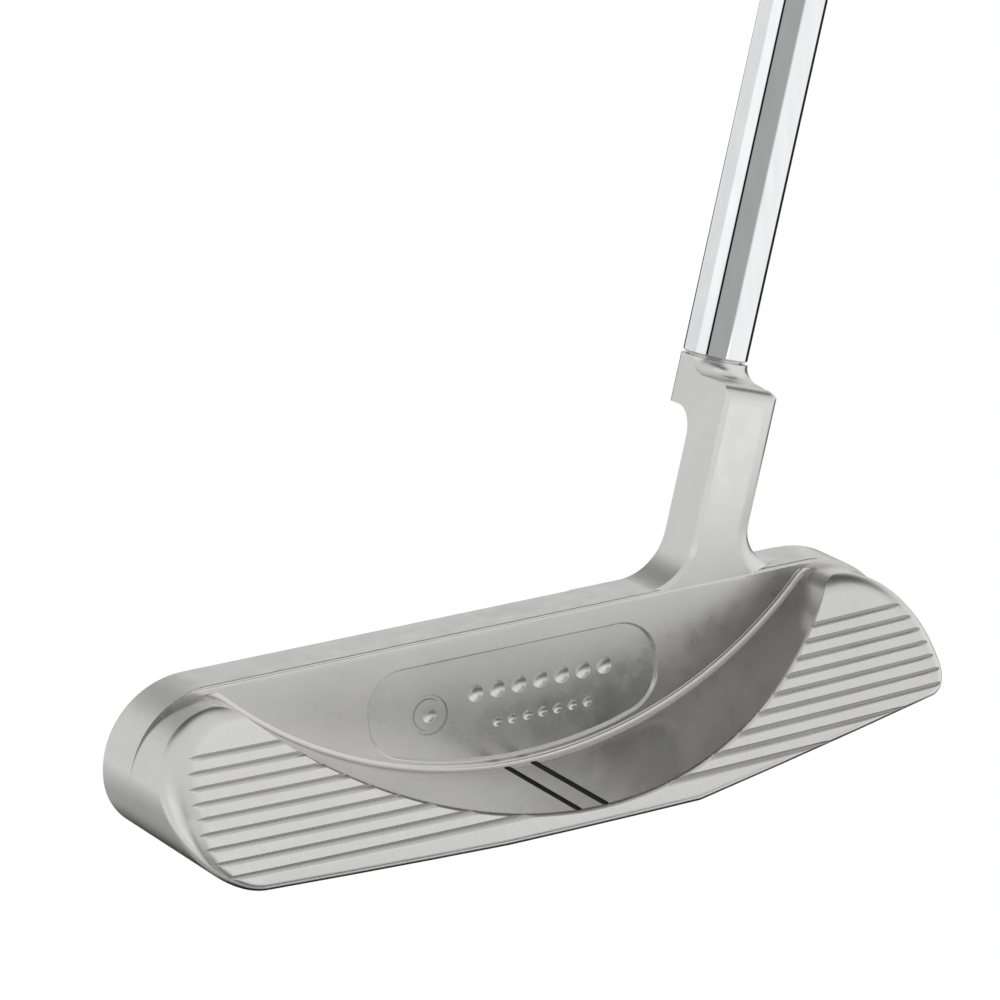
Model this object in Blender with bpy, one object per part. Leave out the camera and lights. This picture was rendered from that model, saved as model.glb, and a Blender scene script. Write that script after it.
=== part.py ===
"""Left-handed blade putter: a one-piece milled head with an offset neck, a steel shaft and a rubber grip.

Frame: the origin is the middle of the sole flat, +X points to the toe, +Y to the back of the
head, +Z up, so the striking face looks along -Y.  Sizes below are in millimetres and degrees;
the meshes are scaled to metres when the objects are made.
"""

import math

import bmesh
import bpy
from mathutils import Matrix, Vector
from mathutils.geometry import delaunay_2d_cdt

for old in list(bpy.data.objects):
    bpy.data.objects.remove(old, do_unlink=True)

MM = 0.001

# Head outline, seen from the back
HEAD_LENGTH = 119.0        # heel to toe, measured at the striking face
HEAD_HEIGHT = 22.5         # sole flat to topline
HEAD_DEPTH = 33.7          # topline front edge to the lower back edge
TOP_CORNER = 12.5          # radius of the upper toe corner
HEEL_TOP_CORNER = 13.2     # radius of the upper heel corner
TOE_CORNER = 9.0           # radius of the lower toe corner
HEEL_CORNER = 4.2          # radius of the lower heel corner
TOE_RELIEF = (16.0, 1.3)   # where the sole starts to rise toward the toe, and its angle
HEEL_RELIEF = (14.0, 6.8)  # the same toward the heel
END_TAPER = 1.5            # each end draws in by this much from the face to the back

# Striking plate and rear bumper
PLATE = 8.9                # thickness of the topline
LOFT = 3.0                 # backward lean of the striking face
BUMPER_STEP = 1.1          # the bumper's top is this far below the topline
REAR_LEAN = 37.0           # lean of the grooved rear face, from upright
REAR_BOW = 745.0           # radius of the rear face in plan
REAR_FILLET = 4.2          # rounding of the rear face at the toe
HEEL_FILLET = 2.4          # the same at the heel
TOP_FILLET = 2.0           # the same along the bumper's top
SOLE_FILLET = 0.9          # the same where the rear face meets the sole
FACE_BREAK = 0.4           # small bevel around the striking face
TOPLINE_BREAK = 0.35       # small bevel on the topline's rear edge

# Scoop, badge recess, grooves and sight lines
SCOOP_RADIUS = 64.0
SCOOP_X = 0.6              # the scoop's middle, toward the toe
SCOOP_FLOOR = 2.1          # height of the scoop's lowest point above the sole
SCOOP_SHOULDER = 5.0       # rounding where the scoop meets the bumper's top
SCOOP_FILLET = 0.8         # rounding where the scoop meets the plate
BADGE_WIDTH = 44.6
BADGE_OFFSET = 1.6         # toward the toe
BADGE_TOP = 3.5            # below the topline
BADGE_MARGIN = 1.3         # above the scoop
BADGE_CORNER = 5.5
BADGE_DEPTH = 0.6
GROOVES = 9
GROOVE_FIRST = 6.0         # top groove below the topline
GROOVE_PITCH = 1.70        # vertical spacing
GROOVE_WIDTH = 1.1
GROOVE_DEPTH = 0.30
SIGHT_LINES = (4.1, 0.0)   # position of each line, toe side first
SIGHT_WIDTH = 0.9
SIGHT_DEPTH = 0.6
PAINT_SINK = 0.12          # the paint dries a little below the metal
PAINT_GAP = 0.02

# Neck and shaft seat, measured along the shaft's axis from the height of the topline
LIE = 72.0
SHAFT_X = -31.1            # where the shaft's axis crosses the height of the topline
SHAFT_OFFSET = 4.6         # the shaft's axis runs this far in front of the face
NECK_WIDTH = 9.2
NECK_SINK = 0.02           # the neck's back is this far in front of the plate's
NECK_TOE_FILLET = 8.5
NECK_HEEL_FILLET = 5.0
NECK_BACK_ROUND = 3.0      # rear heel-side edge
NECK_TOE_ROUND = 0.8       # rear toe-side edge
RIM_LEDGE = 0.16           # the rim is this much wider all round than the shaft
BOSS_BOTTOM = 22.4
BOSS_NOTCH = 4.0           # fillet under the boss
RIM = 29.6
FLARE = 2.2                # concave blend from the rim down to the neck's shoulder
SHOULDER_ROUND = 2.5
POST_LENGTH = 25.0
POST_CHAMFER = 0.6

# Shaft
CLUB_LENGTH = 863.6        # sole to grip end, along the shaft
SHAFT_TIP = 9.4            # outside diameter at the head
SHAFT_BUTT = 15.0          # outside diameter under the grip
SHAFT_WALL = 0.6
SHAFT_PARALLEL = 300.0     # straight part above the head
SHAFT_TAPER = 230.0        # length over which it widens
SEAT_GAP = 0.3
BOND_THICKNESS = 0.2
FIT = 0.05                 # clearance at every sliding fit

# Grip
GRIP_LENGTH = 267.0
GRIP_TAPE = 0.25
GRIP_MOUTH = (20.4, 20.4)  # width and depth at the lower end
GRIP_WAIST = (23.6, 23.4)
GRIP_BUTT = (27.0, 33.0)
GRIP_FLAT = 0.42           # share of the depth on the flat side of the axis
CAP_THICKNESS = 4.0
CAP_VENT = 2.4             # diameter of the vent hole
CAP_PLUG = 5.0             # how far the cap's stem reaches into the shaft

HALF = HEAD_LENGTH / 2
FACE_Y = -HEAD_DEPTH / 2
PLATE_Y = FACE_Y + PLATE
SHAFT_Y = FACE_Y - SHAFT_OFFSET
LEAN = math.tan(math.radians(REAR_LEAN))
BOSS_RADIUS = SHAFT_TIP / 2 + RIM_LEDGE
LIE_RAD = math.radians(LIE)
UP = Vector((-math.cos(LIE_RAD), 0.0, math.sin(LIE_RAD)))
TOEWARD = Vector((math.sin(LIE_RAD), 0.0, math.cos(LIE_RAD)))
SEAT = Vector((SHAFT_X, SHAFT_Y, HEAD_HEIGHT))
SHAFT_FRAME = Matrix.Translation(SEAT) @ Matrix(
    ((TOEWARD.x, 0.0, UP.x, 0.0), (0.0, 1.0, 0.0, 0.0), (TOEWARD.z, 0.0, UP.z, 0.0), (0.0, 0.0, 0.0, 1.0))
)


def paint(name, colour, metallic, roughness, coat=0.0):
    """Makes one plain material."""
    material = bpy.data.materials.new(name)
    material.use_nodes = True
    shader = material.node_tree.nodes["Principled BSDF"]
    shader.inputs["Base Color"].default_value = (*colour, 1.0)
    shader.inputs["Metallic"].default_value = metallic
    shader.inputs["Roughness"].default_value = roughness
    shader.inputs["Coat Weight"].default_value = coat
    return material


def solid(name, vertices, faces):
    """Makes an object from points in millimetres, with its faces turned outward."""
    mesh = bpy.data.meshes.new(name)
    mesh.from_pydata([tuple(v) for v in vertices], [], faces)
    work = bmesh.new()
    work.from_mesh(mesh)
    bmesh.ops.remove_doubles(work, verts=work.verts, dist=1e-5)
    bmesh.ops.recalc_face_normals(work, faces=work.faces)
    if work.calc_volume(signed=True) < 0:
        bmesh.ops.reverse_faces(work, faces=work.faces)
    work.to_mesh(mesh)
    work.free()
    item = bpy.data.objects.new(name, mesh)
    bpy.context.scene.collection.objects.link(item)
    return item


def rings(name, loops, close=False):
    """Joins equal loops of points one after the other; the ends are capped, or joined if close."""
    count = len(loops[0])
    vertices = [point for loop in loops for point in loop]
    faces = []
    pairs = len(loops) if close else len(loops) - 1
    for ring in range(pairs):
        here, there = ring * count, (ring + 1) % len(loops) * count
        for i in range(count):
            j = (i + 1) % count
            faces.append((here + i, here + j, there + j, there + i))
    if not close:
        faces.append(tuple(range(count)))
        faces.append(tuple(range(len(vertices) - 1, len(vertices) - count - 1, -1)))
    return solid(name, vertices, faces)


def slab(name, outline, low, high, place):
    """Extrudes an outline of (a, b) pairs from low to high; place maps (a, b, c) to a point."""
    return rings(name, [[place(a, b, c) for a, b in outline] for c in (low, high)])


def turned(name, profile, frame, sides=48):
    """Turns a closed profile of (radius, height) around a frame's Z axis."""
    loops = []
    for k in range(sides):
        angle = 2 * math.pi * k / sides
        loops.append([frame @ Vector((r * math.cos(angle), r * math.sin(angle), h)) for r, h in profile])
    return rings(name, loops, close=True)


def combine(target, tool, operation):
    """Applies a Boolean to target and removes the tool."""
    step = target.modifiers.new("cut", "BOOLEAN")
    step.solver = "EXACT"
    step.operation = operation
    step.object = tool
    result = bpy.data.meshes.new_from_object(target.evaluated_get(bpy.context.evaluated_depsgraph_get()))
    target.modifiers.clear()
    target.data = result
    bpy.data.objects.remove(tool, do_unlink=True)


def tidy(item):
    """Joins points that a Boolean left on top of each other and drops the empty faces."""
    work = bmesh.new()
    work.from_mesh(item.data)
    bmesh.ops.dissolve_degenerate(work, edges=work.edges, dist=1e-4)
    bmesh.ops.remove_doubles(work, verts=work.verts, dist=1e-4)
    bmesh.ops.triangulate(work, faces=[f for f in work.faces if len(f.verts) > 4])
    work.to_mesh(item.data)
    work.free()


def arc(cx, cy, radius, start, end, steps):
    """Points of an arc about (cx, cy), angles in degrees."""
    points = []
    for k in range(steps + 1):
        angle = math.radians(start + (end - start) * k / steps)
        points.append((cx + radius * math.cos(angle), cy + radius * math.sin(angle)))
    return points


def rounded(corners, radii, steps=8):
    """Rounds the corners of a polygon; a radius of 0 leaves a corner sharp."""
    points = []
    for i, corner in enumerate(corners):
        here = Vector(corner)
        before = (Vector(corners[i - 1]) - here).normalized()
        after = (Vector(corners[(i + 1) % len(corners)]) - here).normalized()
        radius = radii[i]
        if radius == 0.0:
            points.append(tuple(here))
            continue
        half = before.angle(after) / 2
        centre = here + (before + after).normalized() * radius / math.sin(half)
        a = here + before * radius / math.tan(half) - centre
        b = here + after * radius / math.tan(half) - centre
        turn = a.angle_signed(b)
        for k in range(steps + 1):
            spin = Matrix.Rotation(-turn * k / steps, 2)
            points.append(tuple(centre + spin @ a))
    return points


def finish(item, name, material):
    """Scales an object to metres and gives it its name and material."""
    item.data.transform(Matrix.Scale(MM, 4))
    item.name = name
    item.data.name = name
    item.data.materials.clear()
    item.data.materials.append(material)
    for face in item.data.polygons:
        face.use_smooth = False
    return item


def head_outline(top, toe_corner, heel_corner):
    """Closed outline of the head seen from the back, as (x, z), anticlockwise from the sole.

    The two corners of an end shrink together where its side is too short for both.
    """
    toe_start, toe_angle = TOE_RELIEF
    heel_start, heel_angle = HEEL_RELIEF
    toe_rise = (HALF - toe_start) * math.tan(math.radians(toe_angle))
    heel_rise = (HALF - heel_start) * math.tan(math.radians(heel_angle))
    corners = [
        (-heel_start, 0.0), (toe_start, 0.0), (HALF, toe_rise),
        (HALF, top), (-HALF, top), (-HALF, heel_rise),
    ]
    toe_need = toe_corner + TOE_CORNER * math.tan(math.radians(45 - toe_angle / 2))
    heel_need = heel_corner + HEEL_CORNER * math.tan(math.radians(45 - heel_angle / 2))
    toe = min(1.0, 0.995 * (top - toe_rise) / toe_need)
    heel = min(1.0, 0.995 * (top - heel_rise) / heel_need)
    radii = [0.0, 0.0, TOE_CORNER * toe, toe_corner * toe, heel_corner * heel, HEEL_CORNER * heel]
    bend = rounded(corners, radii, steps=9)
    points = []
    for here, there in zip(bend, bend[1:] + bend[:1]):
        pieces = 1 + 2 * int((Vector(there) - Vector(here)).length > 14.0)
        pieces += 6 * int((Vector(there) - Vector(here)).length > 60.0)
        for k in range(pieces):
            points.append(tuple(Vector(here).lerp(Vector(there), k / pieces)))
    return points


def inset(outline, amounts):
    """Moves each point of an anticlockwise outline inward by its own amount."""
    moved = []
    for i, point in enumerate(outline):
        here = Vector(point)
        before = here - Vector(outline[i - 1])
        after = Vector(outline[(i + 1) % len(outline)]) - here
        first = Vector((-before.y, before.x)).normalized()
        second = Vector((-after.y, after.x)).normalized()
        mitre = first + second
        moved.append(tuple(here + mitre * amounts[i] * 2 / mitre.length_squared))
    return moved


def face_y(z):
    return FACE_Y - (HEAD_HEIGHT - z) * math.tan(math.radians(LOFT))


def rear_y(x, z):
    return -FACE_Y - LEAN * z - x * x / (2 * REAR_BOW)


def tapered(x, y, z):
    return Vector((x * (1 - (y - FACE_Y) / HEAD_DEPTH * END_TAPER / HALF), y, z))


def fillet_radius(x, normal_z):
    """Rounding of the rear face at x, for an edge whose inward normal has this upward part."""
    side = REAR_FILLET if x > 0 else HEEL_FILLET
    if normal_z > 0:
        return side + (SOLE_FILLET - side) * normal_z
    return side + (TOP_FILLET - side) * normal_z ** 2


def head_blank():
    """The head before its scoop: plate, bumper step and pillow-edged leaning rear face."""
    plate = head_outline(HEAD_HEIGHT, TOP_CORNER, HEEL_TOP_CORNER)
    step = BUMPER_STEP
    bumper = head_outline(HEAD_HEIGHT - step, TOP_CORNER - step, HEEL_TOP_CORNER - step)
    broken = [(x, min(z, HEAD_HEIGHT - TOPLINE_BREAK)) for x, z in plate]
    count = len(bumper)
    loops = [
        [tapered(x, face_y(z), z) for x, z in inset(plate, [FACE_BREAK] * count)],
        [tapered(x, face_y(z) + FACE_BREAK, z) for x, z in plate],
        [tapered(x, PLATE_Y - TOPLINE_BREAK, z) for x, z in plate],
        [tapered(x, PLATE_Y, z) for x, z in broken],
        [tapered(x, PLATE_Y, z) for x, z in bumper],
    ]
    radii = []
    for (x, z), (ux, uz) in zip(bumper, inset(bumper, [1.0] * count)):
        radii.append(fillet_radius(x, (uz - z) / math.hypot(ux - x, uz - z)))
    for share in (0.0, 0.03, 0.1, 0.22, 0.38, 0.58, 0.78, 1.0):
        drops = [r * (1 - math.sqrt(1 - (1 - share) ** 2)) for r in radii]
        points = inset(bumper, [share * r for r in radii])
        loops.append([tapered(x, rear_y(x, z) - drop, z) for (x, z), drop in zip(points, drops)])

    vertices = [point for loop in loops for point in loop]
    faces = [tuple(range(count))]
    for k in range(len(loops) - 1):
        for i in range(count):
            j = (i + 1) % count
            faces.append((k * count + i, k * count + j, (k + 1) * count + j, (k + 1) * count + i))

    # the bowed face inside the last fillet ring, cut into strips so that it keeps its bow
    inner = [Vector(p) for p in points]
    cuts = [(i, (i + 1) % count) for i in range(count)]
    low, high = min(p.y for p in inner), max(p.y for p in inner)
    for station in range(-4, 5):
        x = HALF * station / 6
        rise = max(0.0, -x - HEEL_RELIEF[0]) * math.tan(math.radians(HEEL_RELIEF[1]))
        cuts.append((len(inner), len(inner) + 1))
        inner += [Vector((x, low + rise + 1.5)), Vector((x, high - 1.0))]
    flat, _, tiles, origins, _, _ = delaunay_2d_cdt(inner, cuts, [list(range(count))], 2, 1e-6)
    index = {}
    for n, sources in enumerate(origins):
        for source in sources:
            if source < count:
                index[n] = (len(loops) - 1) * count + source
    for tile in tiles:
        centre = sum((flat[n] for n in tile), Vector((0.0, 0.0))) / len(tile)
        if not inside(centre, points):
            continue
        for n in tile:
            if n not in index:
                index[n] = len(vertices)
                vertices.append(tapered(flat[n].x, rear_y(flat[n].x, flat[n].y), flat[n].y))
        faces.append(tuple(index[n] for n in tile))
    return solid("head_body", vertices, faces)


def inside(point, outline):
    """Whether a point is inside a closed outline."""
    hits = 0
    for i, (ax, ay) in enumerate(outline):
        bx, by = outline[i - 1]
        if (ay > point.y) != (by > point.y):
            if point.x < (bx - ax) * (point.y - ay) / (by - ay) + ax:
                hits += 1
    return hits % 2 == 1


def along_y(a, b, c):
    return Vector((a, c, b))


def along_toe(a, b, c):
    """Places (y, t) of a side profile; c runs across the neck."""
    return SHAFT_FRAME @ Vector((c, a, b))


def along_shaft(a, b, c):
    return SHAFT_FRAME @ Vector((a, b, c))


def scoop_cutter():
    """Everything above the scoop's arc, behind the plate, with a filleted front edge."""
    bumper_top = HEAD_HEIGHT - BUMPER_STEP
    centre = SCOOP_FLOOR + SCOOP_RADIUS
    reach = SCOOP_RADIUS + SCOOP_SHOULDER
    across = math.sqrt(reach ** 2 - (centre - bumper_top + SCOOP_SHOULDER) ** 2)
    touch = math.degrees(math.atan2(across, centre - bumper_top + SCOOP_SHOULDER))
    shoulder = arc(across, bumper_top - SCOOP_SHOULDER + 0.02, SCOOP_SHOULDER, 90 + touch, 90, 5)
    floor = arc(0.0, centre, SCOOP_RADIUS, -90 - touch, -90 + touch, 40)
    top = HEAD_HEIGHT + 3.0
    outline = [(-across - 0.02, top)]
    outline += [(-x, z) for x, z in reversed(shoulder)] + floor[1:-1] + shoulder
    outline += [(across + 0.02, top)]
    outline = [(x + SCOOP_X, z) for x, z in outline]
    amounts = [0.0] + [1.0] * (len(outline) - 2) + [0.0]
    loops = []
    for angle in (0, 22.5, 45, 67.5, 90):
        turn = math.radians(angle)
        points = inset(outline, [a * SCOOP_FILLET * (1 - math.sin(turn)) for a in amounts])
        depth = PLATE_Y + SCOOP_FILLET * (1 - math.cos(turn))
        loops.append([Vector((x, depth, z)) for x, z in points])
    loops.append([Vector((x, HEAD_DEPTH, z)) for x, z in outline])
    return rings("scoop", loops)


def badge_cutter():
    """The shallow recess in the plate, following the scoop below and straight above."""
    radius = SCOOP_RADIUS - BADGE_MARGIN
    centre = SCOOP_FLOOR + SCOOP_RADIUS
    low, high = BADGE_OFFSET - BADGE_WIDTH / 2, BADGE_OFFSET + BADGE_WIDTH / 2

    def floor(x):
        return centre - math.sqrt(radius ** 2 - (x - SCOOP_X) ** 2)

    middle = [low + 7 + (BADGE_WIDTH - 14) * k / 12 for k in range(13)]
    corners = [(low, floor(low))] + [(x, floor(x)) for x in middle] + [(high, floor(high))]
    corners += [(high, HEAD_HEIGHT - BADGE_TOP), (low, HEAD_HEIGHT - BADGE_TOP)]
    radii = [BADGE_CORNER] + [0.0] * 13 + [BADGE_CORNER] * 3
    outline = rounded(corners, radii)
    return slab("badge", outline, PLATE_Y - BADGE_DEPTH, PLATE_Y + 1.0, along_y)


def groove_cutter(n):
    """One groove that follows the bowed rear face from heel to toe."""
    z = HEAD_HEIGHT - GROOVE_FIRST - n * GROOVE_PITCH
    lean = math.radians(REAR_LEAN)
    down = Vector((math.sin(lean), -math.cos(lean)))
    out = Vector((math.cos(lean), math.sin(lean)))
    half = GROOVE_WIDTH / 2
    section = [
        out * 1.2 - down * (half + 0.15), down * -half * 0.85 - out * GROOVE_DEPTH,
        down * half * 0.85 - out * GROOVE_DEPTH, out * 1.2 + down * (half + 0.15),
    ]
    loops = []
    for k in range(-7, 8):
        x = HALF * k / 6
        y = rear_y(x, z)
        loops.append([Vector((x, y + p.x, z + p.y)) for p in section])
    return rings("groove", loops)


def sight_outline(x, shrink):
    """Round-ended outline of a sight line in plan, as (x, y)."""
    half = SIGHT_WIDTH / 2 - shrink
    floor = SCOOP_FLOOR
    start, end = PLATE_Y + SCOOP_FILLET + 0.4, rear_y(x, floor) - 1.0
    return arc(x, end, half, 0, 180, 6) + arc(x, start, half, 180, 360, 6)


def upright(a, b, c):
    return Vector((a, b, c))


def neck():
    """The neck: flat-sided column, round-fronted boss, flared shoulder and the post for the shaft."""
    half = NECK_WIDTH / 2
    bury = HEAD_HEIGHT - 0.05

    def at(v, t):
        point = SHAFT_FRAME @ Vector((v, 0.0, t))
        return (point.x, point.z)

    def side(v):
        foot = (bury - HEAD_HEIGHT - v * TOEWARD.z) / UP.z
        return at(v, foot)

    toe, heel = side(half), side(-half)
    corners = [
        (toe[0] + 14, HEAD_HEIGHT - 4), (toe[0] + 14, bury), toe, at(half, RIM + 2),
        at(-half, RIM + 2), heel, (heel[0] - 10, bury), (heel[0] - 10, HEAD_HEIGHT - 4),
    ]
    profile = rounded(corners, [0, 0, NECK_TOE_FILLET, 0, 0, NECK_HEEL_FILLET, 0, 0], steps=10)
    rounds = []
    for x, z in profile:
        axis = SHAFT_X - (z - HEAD_HEIGHT) / math.tan(LIE_RAD)
        rounds.append(NECK_TOE_ROUND if x > axis else NECK_BACK_ROUND)
    loops = [[Vector((x, SHAFT_Y - BOSS_RADIUS - 1, z)) for x, z in profile]]
    for angle in (0, 15, 30, 45, 60, 75, 90):
        turn = math.radians(angle)
        points = inset(profile, [r * (1 - math.cos(turn)) for r in rounds])
        back = PLATE_Y - NECK_SINK
        loops.append([Vector((x, back - r * (1 - math.sin(turn)), z)) for (x, z), r in zip(points, rounds)])
    column = rings("neck", loops)

    front, low = SHAFT_OFFSET, -12.0
    notch = rounded(
        [(-9.0, BOSS_BOTTOM), (front, BOSS_BOTTOM), (front, low), (30.0, low), (30.0, RIM), (-9.0, RIM)],
        [0, BOSS_NOTCH, 0, 0, 0, 0],
    )
    combine(column, slab("side", notch, -40.0, 40.0, along_toe), "INTERSECT")
    plan = [(40.0, 0.0), (40.0, 30.0), (-40.0, 30.0), (-40.0, 0.0)] + arc(0, 0, BOSS_RADIUS, 180, 360, 24)
    combine(column, slab("plan", plan, -14.0, RIM + 3, along_shaft), "INTERSECT")

    shoulder = RIM - FLARE
    curve = arc(BOSS_RADIUS + FLARE, RIM, FLARE, 180, 270, 6)
    flare = curve + [(30.0, shoulder), (30.0, RIM + 3), (BOSS_RADIUS, RIM + 3)]
    combine(column, turned("flare", flare, SHAFT_FRAME), "DIFFERENCE")
    back = PLATE_Y - NECK_SINK - SHAFT_Y
    low = shoulder - SHOULDER_ROUND - NECK_SINK
    edge = arc(back - SHOULDER_ROUND, low, SHOULDER_ROUND, 90, 4, 6)
    edge += [(back + 2, low), (back + 2, RIM + 3), (back - SHOULDER_ROUND, RIM + 3)]
    combine(column, slab("edge", edge, -40.0, 40.0, along_toe), "DIFFERENCE")

    radius = SHAFT_TIP / 2 - SHAFT_WALL - 2 * FIT - BOND_THICKNESS
    top = RIM + POST_LENGTH
    post = [
        (0.0, RIM - 5), (radius, RIM - 5), (radius, top - POST_CHAMFER),
        (radius - POST_CHAMFER, top), (0.0, top),
    ]
    combine(column, turned("post", post, SHAFT_FRAME, sides=32), "UNION")
    return column


def shaft_radius(t):
    """Outside radius of the shaft at a distance t along its axis."""
    start = RIM + SEAT_GAP + SHAFT_PARALLEL
    share = min(1.0, max(0.0, (t - start) / SHAFT_TAPER))
    return SHAFT_TIP / 2 + (SHAFT_BUTT - SHAFT_TIP) / 2 * share


GRIP_END = CLUB_LENGTH - HEAD_HEIGHT / math.sin(LIE_RAD)
GRIP_START = GRIP_END - GRIP_LENGTH
SHAFT_END = GRIP_END - CAP_THICKNESS - SEAT_GAP


def shaft():
    low = RIM + SEAT_GAP
    heights = [low + 0.3, low + SHAFT_PARALLEL, low + SHAFT_PARALLEL + SHAFT_TAPER, SHAFT_END - 0.3]
    outer = [(shaft_radius(low) - 0.3, low)] + [(shaft_radius(t), t) for t in heights]
    outer += [(shaft_radius(SHAFT_END) - 0.3, SHAFT_END)]
    inner = [(shaft_radius(t) - SHAFT_WALL, t) for t in (SHAFT_END, *reversed(heights[1:3]), low)]
    return turned("shaft", outer + inner, SHAFT_FRAME)


def sleeve(name, inner, outer, low, high):
    return turned(name, [(inner, low), (outer, low), (outer, high), (inner, high)], SHAFT_FRAME)


def section(width, depth, power, t, sides=48):
    """One D-shaped section of the grip; its flat side faces the toe."""
    loop = []
    flat = 0.5 + (GRIP_FLAT - 0.5) * min(1.0, (power - 2.0) / 2)
    for k in range(sides):
        angle = 2 * math.pi * k / sides
        c, s = math.cos(angle), math.sin(angle)
        n = power if c > 0 else 2.0
        reach = depth * (flat if c > 0 else 1 - flat)
        v = reach * math.copysign(abs(c) ** (2 / n), c)
        y = width / 2 * math.copysign(abs(s) ** (2 / n), s)
        loop.append(SHAFT_FRAME @ Vector((v, y, t)))
    return loop


def circle(radius, t, sides=48):
    turns = [2 * math.pi * k / sides for k in range(sides)]
    return [SHAFT_FRAME @ Vector((radius * math.cos(a), radius * math.sin(a), t)) for a in turns]


def grip_shape(share):
    """Width, depth and squareness of the grip at a share of its length from the mouth."""
    stops = [
        (0.0, *GRIP_MOUTH, 2.0), (0.06, 21.6, 21.4, 2.6), (0.30, 22.8, 22.6, 3.6), (0.55, *GRIP_WAIST, 4.4),
        (0.68, 24.6, 26.4, 4.6), (0.82, 26.2, 31.6, 4.6), (0.92, *GRIP_BUTT, 4.4), (1.0, 27.0, 31.8, 4.2),
    ]
    for low, high in zip(stops, stops[1:]):
        if share <= high[0]:
            part = (share - low[0]) / (high[0] - low[0])
            return [a + (b - a) * part for a, b in zip(low[1:], high[1:])]
    return list(stops[-1][1:])


def grip():
    bore = SHAFT_BUTT / 2 + GRIP_TAPE + 2 * FIT
    top = GRIP_END - CAP_THICKNESS
    loops = [circle(bore, GRIP_START), section(GRIP_MOUTH[0] - 1.2, GRIP_MOUTH[1] - 1.2, 2.0, GRIP_START)]
    for share in (0.003, 0.03, 0.06, 0.18, 0.30, 0.42, 0.55, 0.62, 0.68, 0.75, 0.82, 0.87, 0.92, 0.96, 1.0):
        loops.append(section(*grip_shape(share), GRIP_START + (top - GRIP_START) * share))
    loops.append(circle(bore, top))
    return rings("grip", loops, close=True)


def grip_cap():
    width, depth, power = grip_shape(1.0)
    low = GRIP_END - CAP_THICKNESS + SEAT_GAP
    stem = SHAFT_BUTT / 2 - SHAFT_WALL - FIT
    vent = CAP_VENT / 2
    loops = [
        circle(vent, low - CAP_PLUG),
        circle(stem - 0.5, low - CAP_PLUG),
        circle(stem, low - CAP_PLUG + 0.5),
        circle(stem, low),
        section(width, depth, power, low),
        section(width, depth, power, GRIP_END - 1.6),
        section(width - 0.9, depth - 0.9, power, GRIP_END - 0.5),
        section(width - 3.0, depth - 3.0, power, GRIP_END),
        circle(vent, GRIP_END),
    ]
    return rings("cap", loops, close=True)


steel = paint("stainless_steel", (0.56, 0.56, 0.57), 1.0, 0.30)
chrome = paint("chrome", (0.80, 0.81, 0.83), 1.0, 0.06)
black_paint = paint("black_paint", (0.012, 0.012, 0.013), 0.0, 0.35)
epoxy = paint("epoxy", (0.55, 0.47, 0.30), 0.0, 0.4)
tape = paint("grip_tape", (0.70, 0.66, 0.52), 0.0, 0.9)
rubber = paint("grip_rubber", (0.018, 0.018, 0.019), 0.0, 0.75)
cap_rubber = paint("cap_rubber", (0.025, 0.025, 0.026), 0.0, 0.55)

head = head_blank()
combine(head, neck(), "UNION")
combine(head, scoop_cutter(), "DIFFERENCE")
combine(head, badge_cutter(), "DIFFERENCE")
for groove in range(GROOVES):
    combine(head, groove_cutter(groove), "DIFFERENCE")
for x in SIGHT_LINES:
    floor = SCOOP_FLOOR - SIGHT_DEPTH
    combine(head, slab("slot", sight_outline(x, 0.0), floor, SCOOP_FLOOR + 3, upright), "DIFFERENCE")
tidy(head)
finish(head, "head_body", steel)

for name, x in zip(("alignment_line_toe", "alignment_line_heel"), SIGHT_LINES):
    floor = SCOOP_FLOOR - SIGHT_DEPTH + PAINT_GAP
    line = slab(name, sight_outline(x, PAINT_GAP), floor, SCOOP_FLOOR - PAINT_SINK, upright)
    finish(line, name, black_paint)

tip_bore = SHAFT_TIP / 2 - SHAFT_WALL
bond = sleeve(
    "shaft_bond", tip_bore - FIT - BOND_THICKNESS, tip_bore - FIT, RIM + SEAT_GAP, RIM + POST_LENGTH - 1.0
)
finish(bond, "shaft_bond", epoxy)
finish(shaft(), "shaft", chrome)
wrap = SHAFT_BUTT / 2 + FIT
finish(sleeve("grip_tape", wrap, wrap + GRIP_TAPE, GRIP_START + 2.0, SHAFT_END - 1.0), "grip_tape", tape)
finish(grip(), "grip", rubber)
finish(grip_cap(), "grip_cap", cap_rubber)
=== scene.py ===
"""Studio model of a left-handed blade putter: milled head with an offset neck, chromed shaft, rubber grip.

Axes: the origin is the middle of the sole flat, +X points to the toe, +Y to the back of the head and +Z
up.  Sizes are in millimetres and degrees; meshes are scaled to metres when their objects are made.
"""

import logging
import math
from collections.abc import Callable, Sequence
from dataclasses import dataclass, field
from enum import Enum

import bmesh
import bpy
from mathutils import Matrix, Vector
from mathutils.geometry import delaunay_2d_cdt


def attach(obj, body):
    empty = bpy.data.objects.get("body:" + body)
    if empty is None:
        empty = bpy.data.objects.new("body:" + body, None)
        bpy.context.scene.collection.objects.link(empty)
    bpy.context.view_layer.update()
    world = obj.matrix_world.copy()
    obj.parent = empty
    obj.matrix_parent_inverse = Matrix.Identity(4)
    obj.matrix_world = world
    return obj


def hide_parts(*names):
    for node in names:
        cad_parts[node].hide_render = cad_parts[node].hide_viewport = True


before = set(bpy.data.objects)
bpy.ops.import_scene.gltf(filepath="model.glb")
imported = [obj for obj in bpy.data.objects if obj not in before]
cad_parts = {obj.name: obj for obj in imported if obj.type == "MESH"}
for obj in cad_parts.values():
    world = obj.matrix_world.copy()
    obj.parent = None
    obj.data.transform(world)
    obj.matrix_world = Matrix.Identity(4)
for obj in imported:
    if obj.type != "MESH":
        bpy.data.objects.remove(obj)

log = logging.getLogger("putter")
MM = 0.001
BODY = "root"
BLACK = (0.0, 0.0, 0.0, 1.0)
WHITE = (1.0, 1.0, 1.0, 1.0)
WAVE_PERIOD = 0.314159  # a wave texture's bands are this far apart at scale 1
Pair = tuple[float, float]
Loop = list[Vector]
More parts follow.
